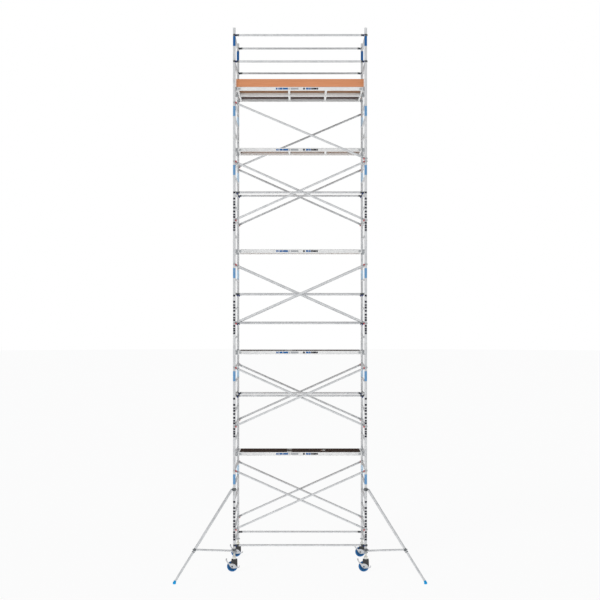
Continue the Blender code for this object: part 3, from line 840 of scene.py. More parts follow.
@dataclass
class FrameStacks:
    """The welded ladder frames at both ends of the tower, with their clips and sleeves."""

    layout: Layout
    wall: float = 0.0022
    bead: float = 0.0032
    tall_rungs: int = 7
    short_rungs: int = 4
    guardrail_post: float = 1.0
    guardrail_rises: tuple[float, float] = (0.36, 0.86)
    sleeve_rise: float = 1.28
    sleeve_length: float = 0.19
    short_sleeve_rise: float = 0.44
    top_sleeve_rise: float = 0.65
    mark_rises: tuple[float, ...] = (
        0.215, 0.262, 0.306, 0.352, 0.402, 0.462, 0.512, 0.566, 0.640, 0.700, 0.752, 0.812, 0.930
    )
    mark_lengths: tuple[float, ...] = (0.034, 0.038, 0.030, 0.036)

    def model_rung(self) -> Piece:
        """Model a fluted rung with its two weld beads, along Y through the origin."""
        reach = self.layout.half_width - self.layout.post_radius + 0.002
        radius = self.layout.rung_radius
        rung = Bench.rod((0, -reach, 0), (0, reach, 0), radius, sides=24)
        with Bench.editing(rung):
            step = math.tau / 12
            Bench.pick(
                rung,
                lambda middle, normal: abs(normal.y) < 0.1
                and math.cos((math.atan2(normal.z, normal.x) - step / 4) * 12) > 0,
            )
            bpy.ops.mesh.inset(thickness=0.0007, use_individual=True)
            bpy.ops.mesh.extrude_region_shrink_fatten(TRANSFORM_OT_shrink_fatten={"value": -0.0008})
        Bench.coat(rung, ALUMINIUM)
        beads = []
        for end in (-1, 1):
            bead = Bench.ring((0, end * (reach - 0.001), 0), (0, 1, 0), radius, self.bead, 24, 6)
            beads.append(Bench.coat(bead, WELD))
        return Bench.joined([rung, *beads])

    def build_frame(
        self, side: Side, name: str, length: float, rises: Sequence[float], rung: Piece
    ) -> None:
        """Build one frame from two posts and copies of the rung.

        Args:
            side: The tower's end it stands at.
            name: The frame's name without its side.
            length: Length of its posts.
            rises: Heights of its rungs over its foot.
            rung: The pattern rung.
        """
        foot = self.layout.feet[name]
        pieces = []
        for face in Face:
            x, y = self.layout.post(side, face)
            post = Bench.rod(
                (x, y, foot), (x, y, foot + length - 0.0005), self.layout.post_radius,
                sides=32, soft=0.0008, wall=self.wall, depth=0.05,
            )
            pieces.append(Bench.coat(post, ALUMINIUM))
        place = Vector((side.value * self.layout.post_x, self.layout.middle_y, foot))
        pieces += [Bench.copied(rung, place + Vector((0, 0, rise))) for rise in rises]
        full = f"{side.name.lower()}_{name}"
        frame = Bench.joined(pieces)
        Bench.hand_over(frame, f"{full}_tubes", TOWER, ALUMINIUM, [full], coated=True)

    def build_clips(self, side: Side) -> None:
        """Build the spring clips that lock each frame to the one under it."""
        pieces = []
        pattern = [
            Bench.ring((0, 0, 0.03), (0, 0, 1), 0.0268, 0.0014, 24, 6),
            Bench.rod((-0.031, 0, 0.03), (0.031, 0, 0.03), 0.0038, 10, 0.0008),
            Bench.rod((-0.0285, 0, -0.03), (0.0285, 0, -0.03), 0.0045, 10, 0.0008),
        ]
        clip = Bench.joined(pattern)
        for name in STACKED_FRAMES:
            for face in Face:
                x, y = self.layout.post(side, face)
                pieces.append(Bench.copied(clip, (x, y, self.layout.feet[name])))
        Bench.discard(clip)
        Bench.hand_over(Bench.joined(pieces), f"{side.name.lower()}_lock_clips", TOWER, ZINC)

    def build_sleeves(self) -> None:
        """Build the plain blue sleeves under the upper rungs of each frame."""
        radius = self.layout.post_radius + 0.0004
        top = []
        for face, finish in ((Face.FRONT, LABEL_WORN), (Face.REAR, LABEL_PALE)):
            sleeves = []
            for side in Side:
                x, y = self.layout.post(side, face)
                rises = {name: self.sleeve_rise for name in TALL_FRAMES}
                rises["short_frame"] = self.short_sleeve_rise
                for name, rise in rises.items():
                    z = self.layout.feet[name] + rise
                    sleeves.append(Bench.rod((x, y, z), (x, y, z + self.sleeve_length), radius, 32))
                z = self.layout.feet["guardrail_frame"] + self.top_sleeve_rise
                top.append(Bench.rod((x, y, z), (x, y, z + self.sleeve_length), radius, 32))
            Bench.hand_over(
                Bench.joined(sleeves), f"{face.name.lower()}_frame_sleeves", TOWER, finish
            )
        Bench.hand_over(Bench.joined(top), "top_sleeves", TOWER, LABEL)

    def build_marks(self) -> None:
        """Build plain dark bars, of a few lengths, up the front posts of the tall frames."""
        radius = self.layout.post_radius + 0.0003
        patterns = []
        for length in self.mark_lengths:
            mark = Bench.rod((0, 0, 0), (0, 0, length), radius, 32)
            with Bench.editing(mark):
                bpy.ops.mesh.select_all(action="SELECT")
                bpy.ops.mesh.bisect(
                    plane_co=(0, -0.014, 0), plane_no=(0, 1, 0), clear_outer=True, use_fill=True
                )
            patterns.append(mark)
        pieces = []
        for side in Side:
            x, y = self.layout.post(side, Face.FRONT)
            for name in TALL_FRAMES:
                foot = self.layout.feet[name]
                for step, rise in enumerate(self.mark_rises):
                    pattern = patterns[step % len(patterns)]
                    pieces.append(Bench.copied(pattern, (x, y, foot + rise)))
        Bench.discard(*patterns)
        Bench.hand_over(Bench.joined(pieces), "post_marks", TOWER, MARK)

    def build(self) -> None:
        """Build every frame and what is fitted to its posts."""
        rung = self.model_rung()
        tall = self.layout.rung_pitch * self.tall_rungs
        rises = [
            self.layout.first_rung + i * self.layout.rung_pitch for i in range(self.tall_rungs)
        ]
        for side in Side:
            for name in TALL_FRAMES:
                self.build_frame(side, name, tall, rises, rung)
            short = self.layout.rung_pitch * self.short_rungs
            self.build_frame(side, "short_frame", short, rises[: self.short_rungs], rung)
            self.build_frame(
                side, "guardrail_frame", self.guardrail_post, self.guardrail_rises, rung
            )
            self.build_clips(side)
        Bench.discard(rung)
        self.build_sleeves()
        self.build_marks()


# Braces and rails


@dataclass
class ClawKit:
    """The hooks, necks and triggers at the ends of braces and rails, modelled once."""

    layout: Layout
    hook_wall: float = 0.0085
    hook_height: float = 0.032
    mouth: float = math.radians(95)
    neck_start: float = 0.031
    neck_end: float = 0.088

    def model_hook(self) -> Piece:
        """Model a C-shaped hook round the Z axis, open towards +Y."""
        inner = self.layout.post_radius + 0.0008
        middle = inner + self.hook_wall / 2
        Bench.clear_selection()
        start = math.pi / 2 + self.mouth / 2
        turn = math.tau - self.mouth
        place = Matrix.Rotation(start, 4, "Z") @ Matrix.Translation((middle, 0, 0))
        bpy.ops.mesh.primitive_plane_add(size=1.0, rotation=(math.pi / 2, 0, 0))
        hook = Bench.settle(bpy.context.object)
        hook.data.transform(Matrix.Diagonal((self.hook_wall, 1, self.hook_height, 1)))
        hook.data.transform(place)
        with Bench.editing(hook):
            bpy.ops.mesh.select_all(action="SELECT")
            bpy.ops.mesh.spin(steps=18, angle=turn, center=(0, 0, 0), axis=(0, 0, 1))
            bpy.ops.mesh.select_all(action="SELECT")
            bpy.ops.mesh.normals_make_consistent(inside=False)
            shape = bmesh.from_edit_mesh(hook.data)
            open_edges = [edge for edge in shape.edges if edge.is_boundary]
            if open_edges:
                for face in shape.faces:
                    face.select_set(False)
                bpy.ops.mesh.select_mode(type="EDGE")
                for edge in open_edges:
                    edge.select_set(True)
                bmesh.update_edit_mesh(hook.data)
                bpy.ops.mesh.edge_face_add()
                bpy.ops.mesh.select_all(action="SELECT")
                bpy.ops.mesh.normals_make_consistent(inside=False)
                bpy.ops.mesh.select_mode(type="FACE")
            Bench.pick(hook, lambda middle, normal: abs(normal.z) > 0.9)
            bpy.ops.mesh.bevel(offset=0.0015, segments=2, affect="EDGES")
        return hook

    def model_neck(self) -> Piece:
        """Model the neck from a hook to a tube's plug, along +X."""
        neck = Bench.block(
            (self.neck_start, -0.009, -0.014), (self.neck_end - 0.022, 0.009, 0.014), 0.002
        )
        collar = Bench.turned(
            (self.neck_end - 0.03, 0, 0),
            (1, 0, 0),
            [(0.0125, 0.0), (0.0175, 0.006), (0.0213, 0.012), (0.0218, 0.024), (0.0205, 0.030)],
            24,
        )
        rib = Bench.block((0.035, -0.003, -0.019), (0.064, 0.003, 0.019), 0.0012)
        pin = Bench.rod((0.052, -0.0125, 0), (0.052, 0.0125, 0), 0.004, 12, 0.0008)
        return Bench.joined([neck, collar, rib, pin])

    def model_trigger(self) -> Piece:
        """Model the release trigger, a lever on a hook's front with a tab under its neck."""
        lever = Bench.block((0.022, -0.0430, -0.009), (0.046, -0.0340, 0.009), 0.0035, 3)
        tab = Bench.block((0.031, -0.0420, -0.023), (0.045, 0.0140, -0.009), 0.003, 3)
        boss = Bench.rod((0.028, -0.0440, 0), (0.028, -0.033, 0), 0.006, 16, 0.001)
        return Bench.joined([lever, tab, boss])


@dataclass
class Bar:
    """A brace or rail between two points on the posts' axes or on two rungs.

    Attributes:
        left: X and Z of its left end.
        right: X and Z of its right end.
        offset: How far its tube lies in front of the posts' plane.
    """

    left: tuple[float, float]
    right: tuple[float, float]
    offset: float = 0.0


@dataclass
class BraceSet:
    """The diagonals, base rails and guardrails on both long faces."""

    layout: Layout
    kit: ClawKit
    tube_radius: float = 0.020
    cross_offset: float = 0.0203
    cross_rungs: int = 4
    plug: float = 0.012
    top_brace_lift: float = 0.054

    def build_bars(
        self, node: str, face: Face, bars: Sequence[Bar], claw: Finish, trigger_finish: Finish
    ) -> None:
        """Build the bars that one node stands for: their tubes, claws and triggers.

        Args:
            node: The model's node.
            face: The tower's face they are on.
            bars: The bars.
            claw: The finish of their claws.
            trigger_finish: The finish of their triggers.
        """
        plane = self.layout.middle_y + face.value * self.layout.half_width
        hook, neck, trigger = self.kit.model_hook(), self.kit.model_neck(), self.kit.model_trigger()
        outwards = Matrix.Diagonal((1, -face.value, 1, 1))
        tubes, claws, triggers = [], [], []
        for bar in bars:
            ends = [Vector((x, 0, z)) for x, z in (bar.left, bar.right)]
            shift = Vector((0, plane + face.value * bar.offset, 0))
            for here, there in (ends, ends[::-1]):
                along = (there - here).normalized()
                lean = Matrix.Rotation(-math.atan2(along.z, along.x), 4, "Y")
                claws.append(Bench.copied(hook, here + Vector((0, plane, 0)), outwards))
                claws.append(Bench.copied(neck, here + shift, lean))
                flat = Matrix.Diagonal((math.copysign(1, along.x), 1, 1, 1))
                triggers.append(
                    Bench.copied(trigger, here + Vector((0, plane, 0)), flat @ outwards)
                )
            along = (ends[1] - ends[0]).normalized() * (self.kit.neck_end - self.plug)
            tubes.append(
                Bench.rod(
                    ends[0] + along + shift, ends[1] - along + shift, self.tube_radius, soft=0.001
                )
            )
        Bench.discard(hook, neck, trigger)
        Bench.hand_over(Bench.joined(tubes), f"{node}_tube", TOWER, ALUMINIUM, [node])
        Bench.hand_over(Bench.joined(claws), f"{node}_claws", TOWER, claw, [node])
        Bench.hand_over(Bench.joined(triggers), f"{node}_triggers", TOWER, trigger_finish, [node])

    def build(self) -> None:
        """Build the cross braces, top braces, base rails and guardrails of both faces."""
        x, rung, pitch = self.layout.post_x, self.layout.first_rung, self.layout.rung_pitch
        for face in Face:
            word = face.name.lower()
            for number, name in enumerate(TALL_FRAMES, 1):
                low = self.layout.feet[name] + rung + pitch
                high = low + self.cross_rungs * pitch
                bars = [
                    Bar((-x, low), (x, high), self.cross_offset),
                    Bar((-x, high), (x, low), -self.cross_offset),
                ]
                self.build_bars(f"{word}_cross_brace_{number}", face, bars, CAST_LIGHT, TRIGGER_RED)
            low = self.layout.feet["frame_4"] + rung + 5 * pitch + self.top_brace_lift
            high = self.layout.feet["short_frame"] + rung + 2 * pitch
            ends = [(-x, low), (x, high)] if face is Face.REAR else [(-x, high), (x, low)]
            self.build_bars(f"{word}_top_brace", face, [Bar(*ends)], CAST_LIGHT, TRIGGER_RED)
            for name in ("base_rail", "mid_guardrail", "top_guardrail"):
                node = f"{word}_{name}"
                z = sum(corner.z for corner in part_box(node)) / 2
                self.build_bars(node, face, [Bar((-x, z), (x, z))], CAST, TRIGGER_NAVY)


@dataclass
class MidRails:
    """The rails that hook down over the rungs, beside the middle platforms."""

    layout: Layout
    from_middle: float = 0.35
    tube_radius: float = 0.020
    tube_start: float = 0.074
    claw_wall: float = 0.009
    claw_width: float = 0.034
    rungs: tuple[tuple[str, int], ...] = (
        ("frame_2", 3), ("frame_3", 1), ("frame_3", 3), ("frame_4", 3)
    )

    def model_claw(self) -> Piece:
        """Model a claw over a rung along Y, open downwards, with its neck along +X."""
        inner, half = self.layout.rung_radius + 0.0008, self.claw_width / 2
        outer = inner + self.claw_wall
        arc = [(math.cos(a) * outer, math.sin(a) * outer)
               for a in (math.radians(-40 + 20 * i) for i in range(14))]
        back = [(math.cos(a) * inner, math.sin(a) * inner)
                for a in (math.radians(220 - 20 * i) for i in range(14))]
        hook = Bench.plate(arc + back, -half, half, 0.0015)
        neck = Bench.block((outer - 0.004, -0.010, -0.012), (0.062, 0.010, 0.012), 0.002)
        collar = Bench.turned(
            (0.055, 0, 0), (1, 0, 0),
            [(0.0125, 0.0), (0.0175, 0.006), (0.0213, 0.012), (0.0218, 0.026), (0.0205, 0.031)], 24,
        )
        return Bench.joined([hook, neck, collar])

    def model_trigger(self) -> Piece:
        """Model the trigger under a claw's neck."""
        lever = Bench.block((0.024, -0.008, -0.034), (0.058, 0.008, -0.010), 0.0035, 3)
        tab = Bench.block((0.040, -0.006, -0.044), (0.054, 0.006, -0.026), 0.003, 3)
        return Bench.joined([lever, tab])

    def build(self) -> None:
        """Build the rails of both faces."""
        claw, trigger = self.model_claw(), self.model_trigger()
        x = self.layout.post_x
        for face in Face:
            y = self.layout.middle_y + face.value * self.from_middle
            tubes, claws, triggers = [], [], []
            for frame, rung in self.rungs:
                z = self.layout.feet[frame] + self.layout.first_rung + rung * self.layout.rung_pitch
                reach = x - self.tube_start
                tube = Bench.rod((-reach, y, z), (reach, y, z), self.tube_radius, soft=0.001)
                tubes.append(tube)
                for side in Side:
                    turn = Matrix.Diagonal((-side.value, 1, 1, 1))
                    place = (side.value * x, y, z)
                    claws.append(Bench.copied(claw, place, turn))
                    triggers.append(Bench.copied(trigger, place, turn))
            word = face.name.lower()
            Bench.hand_over(Bench.joined(tubes), f"{word}_mid_rail_tubes", TOWER, ALUMINIUM)
            Bench.hand_over(Bench.joined(claws), f"{word}_mid_rail_claws", TOWER, CAST)
            Bench.hand_over(
                Bench.joined(triggers), f"{word}_mid_rail_triggers", TOWER, TRIGGER_NAVY
            )
        Bench.discard(claw, trigger)


# Platforms


@dataclass
class PlatformSet:
    """The working platforms, each with a trapdoor of its own but the rear top one.

    Sizes are counted from the rung's axis and from the platform's middle line.
    """

    layout: Layout
    half_length: float = 1.195
    half_width: float = 0.30
    beam_foot: float = -0.045
    deck_top: float = 0.025
    deck: float = 0.012
    beam: float = 0.025
    hatch_start: float = -0.205
    hatch_end: float = 0.495
    hatch_half: float = 0.2715
    hatch_gap: float = 0.003
    seam: float = 0.001
    top_offset: float = 0.33
    end_beam_lift: float = 0.010
    cross_members: tuple[float, ...] = (-0.230, 0.480)
    cross_member_size: tuple[float, float] = (0.040, 0.034)
    rivet_rows: int = 9
    rivet_pitch: float = 0.28
    rivet_inset: float = 0.02
    bolt_insets: tuple[float, ...] = (0.03, 0.07)
    hinges: tuple[float, ...] = (-0.19, 0.19)
    hinge_half: float = 0.035
    leaf_soft: float = 0.0006
    channel: float = 0.002
    film: float = 0.002
    film_edge: float = 0.0025
    mark_spans: tuple[tuple[Finish, tuple[tuple[float, float], ...]], ...] = (
        (LABEL, ((-0.46, 0.030), (-0.42, 0.014), (-0.396, 0.060), (-0.328, 0.100), (0.115, 0.050),
                 (0.172, 0.034))),
        (MARK_GREY, ((-0.215, 0.016), (-0.180, 0.150))),
        (MARK, ((0.058, 0.036), (0.214, 0.034), (0.252, 0.062), (0.318, 0.028))),
    )

    def model_beams(self) -> Piece:
        """Model the welded frame: channelled side beams, end beams and cross members."""
        pieces = []
        outer, inner = self.half_width, self.half_width - self.beam
        for side in (-1, 1):
            beam = Bench.block(
                (-self.half_length, side * inner, self.beam_foot),
                (self.half_length, side * outer, self.deck_top - self.film),
            )
            with Bench.editing(beam):
                Bench.pick(beam, lambda middle, normal: normal.y * side > 0.99)
                bpy.ops.mesh.inset(thickness=0.012)
                bpy.ops.mesh.extrude_region_shrink_fatten(
                    TRANSFORM_OT_shrink_fatten={"value": -self.channel}
                )
            pieces.append(beam)
        for end in (-1, 1):
            low = (end * self.half_length, -inner, self.beam_foot + self.end_beam_lift)
            high = (end * (self.half_length - self.beam), inner, self.deck_top)
            pieces.append(Bench.block(low, high, 0.001))
        width, depth = self.cross_member_size
        top = self.deck_top - self.deck
        for x in self.cross_members:
            pieces.append(Bench.block((x, -inner, top - depth), (x + width, inner, top)))
        return Bench.coat(Bench.joined(pieces), BEAM_ALUMINIUM)

    def model_rivets(self) -> Piece:
        """Model the rivets that hold the deck, and the corner hooks' bolts."""
        pieces = []
        top = self.deck_top
        for side in (-1, 1):
            y = side * (self.half_width - self.beam / 2 - self.rivet_inset)
            for step in range(self.rivet_rows):
                x = (step - self.rivet_rows // 2) * self.rivet_pitch
                if not self.hatch_start - 0.03 < x < self.hatch_end + 0.03:
                    ends = (x, y, top - 0.001), (x, y, top + 0.0012)
                    pieces.append(Bench.rod(*ends, 0.005, 10, 0.0008))
            y = side * (self.half_width + 0.002)
            for end in (-1, 1):
                for inset in self.bolt_insets:
                    x = end * (self.half_length - inset)
                    ends = (x, y - side * 0.004, -0.010), (x, y, -0.010)
                    pieces.append(Bench.rod(*ends, 0.007, 6, 0.0008))
        return Bench.joined(pieces)

    def model_hooks(self) -> Piece:
        """Model the four cast hooks that rest on the rungs, and their wind locks."""
        reach = self.layout.post_x - self.half_length
        radius = self.layout.rung_radius + 0.0005
        crown = self.deck_top - 0.0005
        arc = [
            (reach + math.sin(a) * radius, math.cos(a) * radius)
            for a in (math.radians(-90 + 18 * i) for i in range(11))
        ]
        foot = self.beam_foot + 0.012
        outline = [
            (-0.06, foot), (-0.06, crown), (reach, crown), (reach + 0.022, crown - 0.008),
            (reach + 0.0255, -0.012), (reach + radius, -0.012), *arc[::-1][1:],
            (reach - radius, -0.030), (0.016, foot),
        ]
        hook = Bench.plate(outline, -0.0115, 0.0115, 0.001)
        lock = Bench.joined([
            Bench.block((reach - 0.045, -0.016, -0.052), (reach + 0.02, -0.012, -0.024), 0.0012),
            Bench.rod(
                (reach - 0.03, -0.018, -0.03), (reach - 0.03, 0.012, -0.03), 0.005, 12, 0.001
            ),
        ])
        whole = Bench.joined([hook, lock])
        pieces = []
        for end in (-1, 1):
            for side in (-1, 1):
                y = side * (self.half_width - self.beam / 2)
                turn = Matrix.Diagonal((end, -side, 1, 1))
                pieces.append(Bench.copied(whole, (end * self.half_length, y, 0), turn))
        Bench.discard(whole)
        return Bench.joined(pieces)

    def model_deck(self, hatch: bool, under: Finish) -> Piece:
        """Model the plywood between the beams, round the trapdoor or whole.

        Args:
            hatch: Whether it leaves a trapdoor's opening.
            under: The finish of its underside.

        Returns:
            The deck.
        """
        inner = self.half_width - self.beam - self.seam
        outer = self.half_width - self.film_edge
        end = self.half_length - self.beam - self.seam
        foot, top = self.deck_top - self.deck, self.deck_top - 0.0003
        flange = self.deck_top - self.film + 0.0001
        start, stop = self.hatch_start - self.hatch_gap, self.hatch_end + self.hatch_gap
        spans = [(-end, start), (stop, end)] if hatch else [(-end, end)]
        pieces = []
        for low, high in spans:
            pieces.append(Bench.block((low, -inner, foot), (high, inner, top - 0.0001), 0.0006, 1))
            pieces.append(Bench.block((low, -outer, flange), (high, outer, top), 0.0004, 1))
        if hatch:
            for y in (-outer, self.hatch_half + self.hatch_gap):
                width = outer - self.hatch_half - self.hatch_gap
                pieces.append(Bench.block((start, y, flange), (stop, y + width, top), 0.0004, 1))
        deck = Bench.coat(Bench.joined(pieces), DECK_TOP)
        Bench.coat_faces(deck, under, lambda middle, normal: normal.z < -0.9)
        return deck

    def model_lid(self) -> Piece:
        """Model the trapdoor's board, with a finger slot."""
        board = Bench.block(
            (self.hatch_start + 0.002, -self.hatch_half, self.deck_top - self.deck + 0.0005),
            (self.hatch_end - 0.002, self.hatch_half, self.deck_top - 0.0004),
            0.0008,
            1,
        )
        slot = Bench.block((0.40, -0.055, -0.02), (0.435, 0.055, 0.06), 0.012, 4)
        cut = board.modifiers.new("slot", "BOOLEAN")
        cut.object = slot
        cut.solver = "EXACT"
        Bench.apply(board, cut)
        Bench.discard(slot)
        Bench.coat(board, DECK_TOP)
        Bench.coat_faces(board, DECK_UNDER, lambda middle, normal: normal.z < -0.9)
        return board

    def model_lid_fittings(self) -> Piece:
        """Model the trapdoor's hinges and catch."""
        pieces = []
        x, top = self.hatch_start, self.deck_top
        leaf = top - 0.0006, top + 0.0016
        for y in self.hinges:
            low, high = y - self.hinge_half, y + self.hinge_half
            pieces += [
                Bench.block((x + 0.002, low, leaf[0]), (x + 0.05, high, leaf[1]), self.leaf_soft),
                Bench.rod((x, low, top), (x, high, top), 0.0042, 14, 0.0008),
            ]
            for across in (0.018, 0.038):
                for aside in (-0.02, 0.02):
                    at = x + across, y + aside
                    pieces.append(Bench.rod((*at, top), (*at, top + 0.0026), 0.0038, 10, 0.0008))
        pieces += [
            Bench.block((0.44, -0.045, leaf[0]), (0.488, 0.045, leaf[1]), self.leaf_soft),
            Bench.rod((0.466, -0.018, top), (0.466, 0.018, top), 0.0038, 12, 0.001),
        ]
        return Bench.joined(pieces)

    def model_fixed_hinges(self) -> Piece:
        """Model the hinge leaves that stay on the deck."""
        x, top = self.hatch_start, self.deck_top
        pieces = []
        for y in self.hinges:
            low = (x - 0.05, y - self.hinge_half, top - 0.0006)
            high = (x - 0.005, y + self.hinge_half, top + 0.0014)
            pieces.append(Bench.block(low, high, self.leaf_soft))
        return Bench.joined(pieces)

    def model_marks(self) -> dict[Finish, Piece]:
        """Model plain vinyl blocks in the front beam's channel.

        Returns:
            The blocks of each finish.
        """
        face = self.channel - self.half_width
        marks = {}
        for finish, spans in self.mark_spans:
            blocks = [
                Bench.block(
                    (x, face - 0.0008, -0.026), (x + width, face + 0.0004, 0.008), 0.0002, 1
                )
                for x, width in spans
            ]
            marks[finish] = Bench.joined(blocks)
        return marks

    def build(self) -> None:
        """Build the six platforms and the five trapdoors."""
        layout = self.layout
        sixth = layout.first_rung + 6 * layout.rung_pitch
        heights = {
            f"platform_{number}": (layout.feet[name] + sixth, 0.0)
            for number, name in enumerate(TALL_FRAMES, 1)
        }
        heights["front_top_platform"] = (layout.top_rung, -self.top_offset)
        heights["rear_top_platform"] = (layout.top_rung, self.top_offset)
        beams, hooks, rivets = self.model_beams(), self.model_hooks(), self.model_rivets()
        lid, fittings = self.model_lid(), self.model_lid_fittings()
        leaves, marks = self.model_fixed_hinges(), self.model_marks()
        decks = {
            (True, False): self.model_deck(True, DECK_UNDER),
            (False, True): self.model_deck(False, DECK_UNDER_DARK),
        }
        for name, (z, offset) in heights.items():
            place = (0.0, layout.middle_y + offset, z)
            rear = name == "rear_top_platform"
            deck = Bench.copied(decks[(not rear, rear)], place)
            Bench.hand_over(
                Bench.copied(beams, place), f"{name}_beams", TOWER, BEAM_ALUMINIUM, [name]
            )
            Bench.hand_over(Bench.copied(hooks, place), f"{name}_hooks", TOWER, CAST_LIGHT, [name])
            Bench.hand_over(deck, f"{name}_deck", TOWER, DECK_TOP, [name], coated=True)
            metal = [Bench.copied(rivets, place)]
            if not rear:
                metal.append(Bench.copied(leaves, place))
                hatch = f"{name}_hatch"
                board = Bench.copied(lid, place)
                Bench.hand_over(board, f"{hatch}_board", hatch, DECK_TOP, [hatch], coated=True)
                Bench.hand_over(Bench.copied(fittings, place), f"{hatch}_fittings", hatch, ZINC)
            Bench.hand_over(Bench.joined(metal), f"{name}_rivets", TOWER, ZINC)
            if not rear:
                for finish, mark in marks.items():
                    word = finish.name.split("_")[0]
                    blocks = Bench.copied(mark, place)
                    Bench.hand_over(blocks, f"{name}_{word}_marks", TOWER, finish)
        Bench.discard(beams, hooks, rivets, lid, fittings, leaves, *marks.values(), *decks.values())


@dataclass
class ToeBoards:
    """The toe boards round the top platforms, with their corner clips."""

    layout: Layout
    foot: float = 0.0253
    height: float = 0.15
    thickness: float = 0.025
    half_width: float = 0.63
    half_length: float = 1.217
    end_outer: float = 1.195
    clip_inset: float = 0.02
    clip_reach: float = 0.05
    clip_sheet: float = 0.003

    def build(self) -> None:
        """Build the four boards and the clips that hold them."""
        low = self.layout.top_rung + self.foot
        high = low + self.height
        middle = self.layout.middle_y
        long_boards, end_boards, clips = [], [], []
        inner = self.half_width - self.thickness - 0.0004
        for sign in (-1, 1):
            outer = middle + sign * self.half_width
            corner = (-self.half_length, outer, low)
            opposite = (self.half_length, outer - sign * self.thickness, high)
            long_boards.append(Bench.block(corner, opposite))
            corner = (sign * self.end_outer, middle - inner, low)
            opposite = (sign * (self.end_outer - self.thickness), middle + inner, high)
            end_boards.append(Bench.block(corner, opposite))
        foot, top = low + self.clip_inset, high - self.clip_inset
        gap, reach, sheet = 0.0005, self.clip_reach, self.clip_sheet
        for end in (-1, 1):
            for side in (-1, 1):
                x = end * (self.end_outer - self.thickness)
                y = middle + side * (self.half_width - self.thickness)
                for corner, opposite in (
                    ((x, y - side * gap, foot), (x - end * sheet, y - side * reach, top)),
                    ((x - end * gap, y, foot), (x - end * reach, y - side * sheet, top)),
                ):
                    clips.append(Bench.block(corner, opposite, 0.0008))
        Bench.hand_over(
            Bench.joined(long_boards), "long_toe_boards", TOWER, TOE_LONG, ["toe_boards"]
        )
        Bench.hand_over(Bench.joined(end_boards), "end_toe_boards", TOWER, TOE_END, ["toe_boards"])
        Bench.hand_over(Bench.joined(clips), "toe_board_clips", TOWER, ZINC)


# Castors


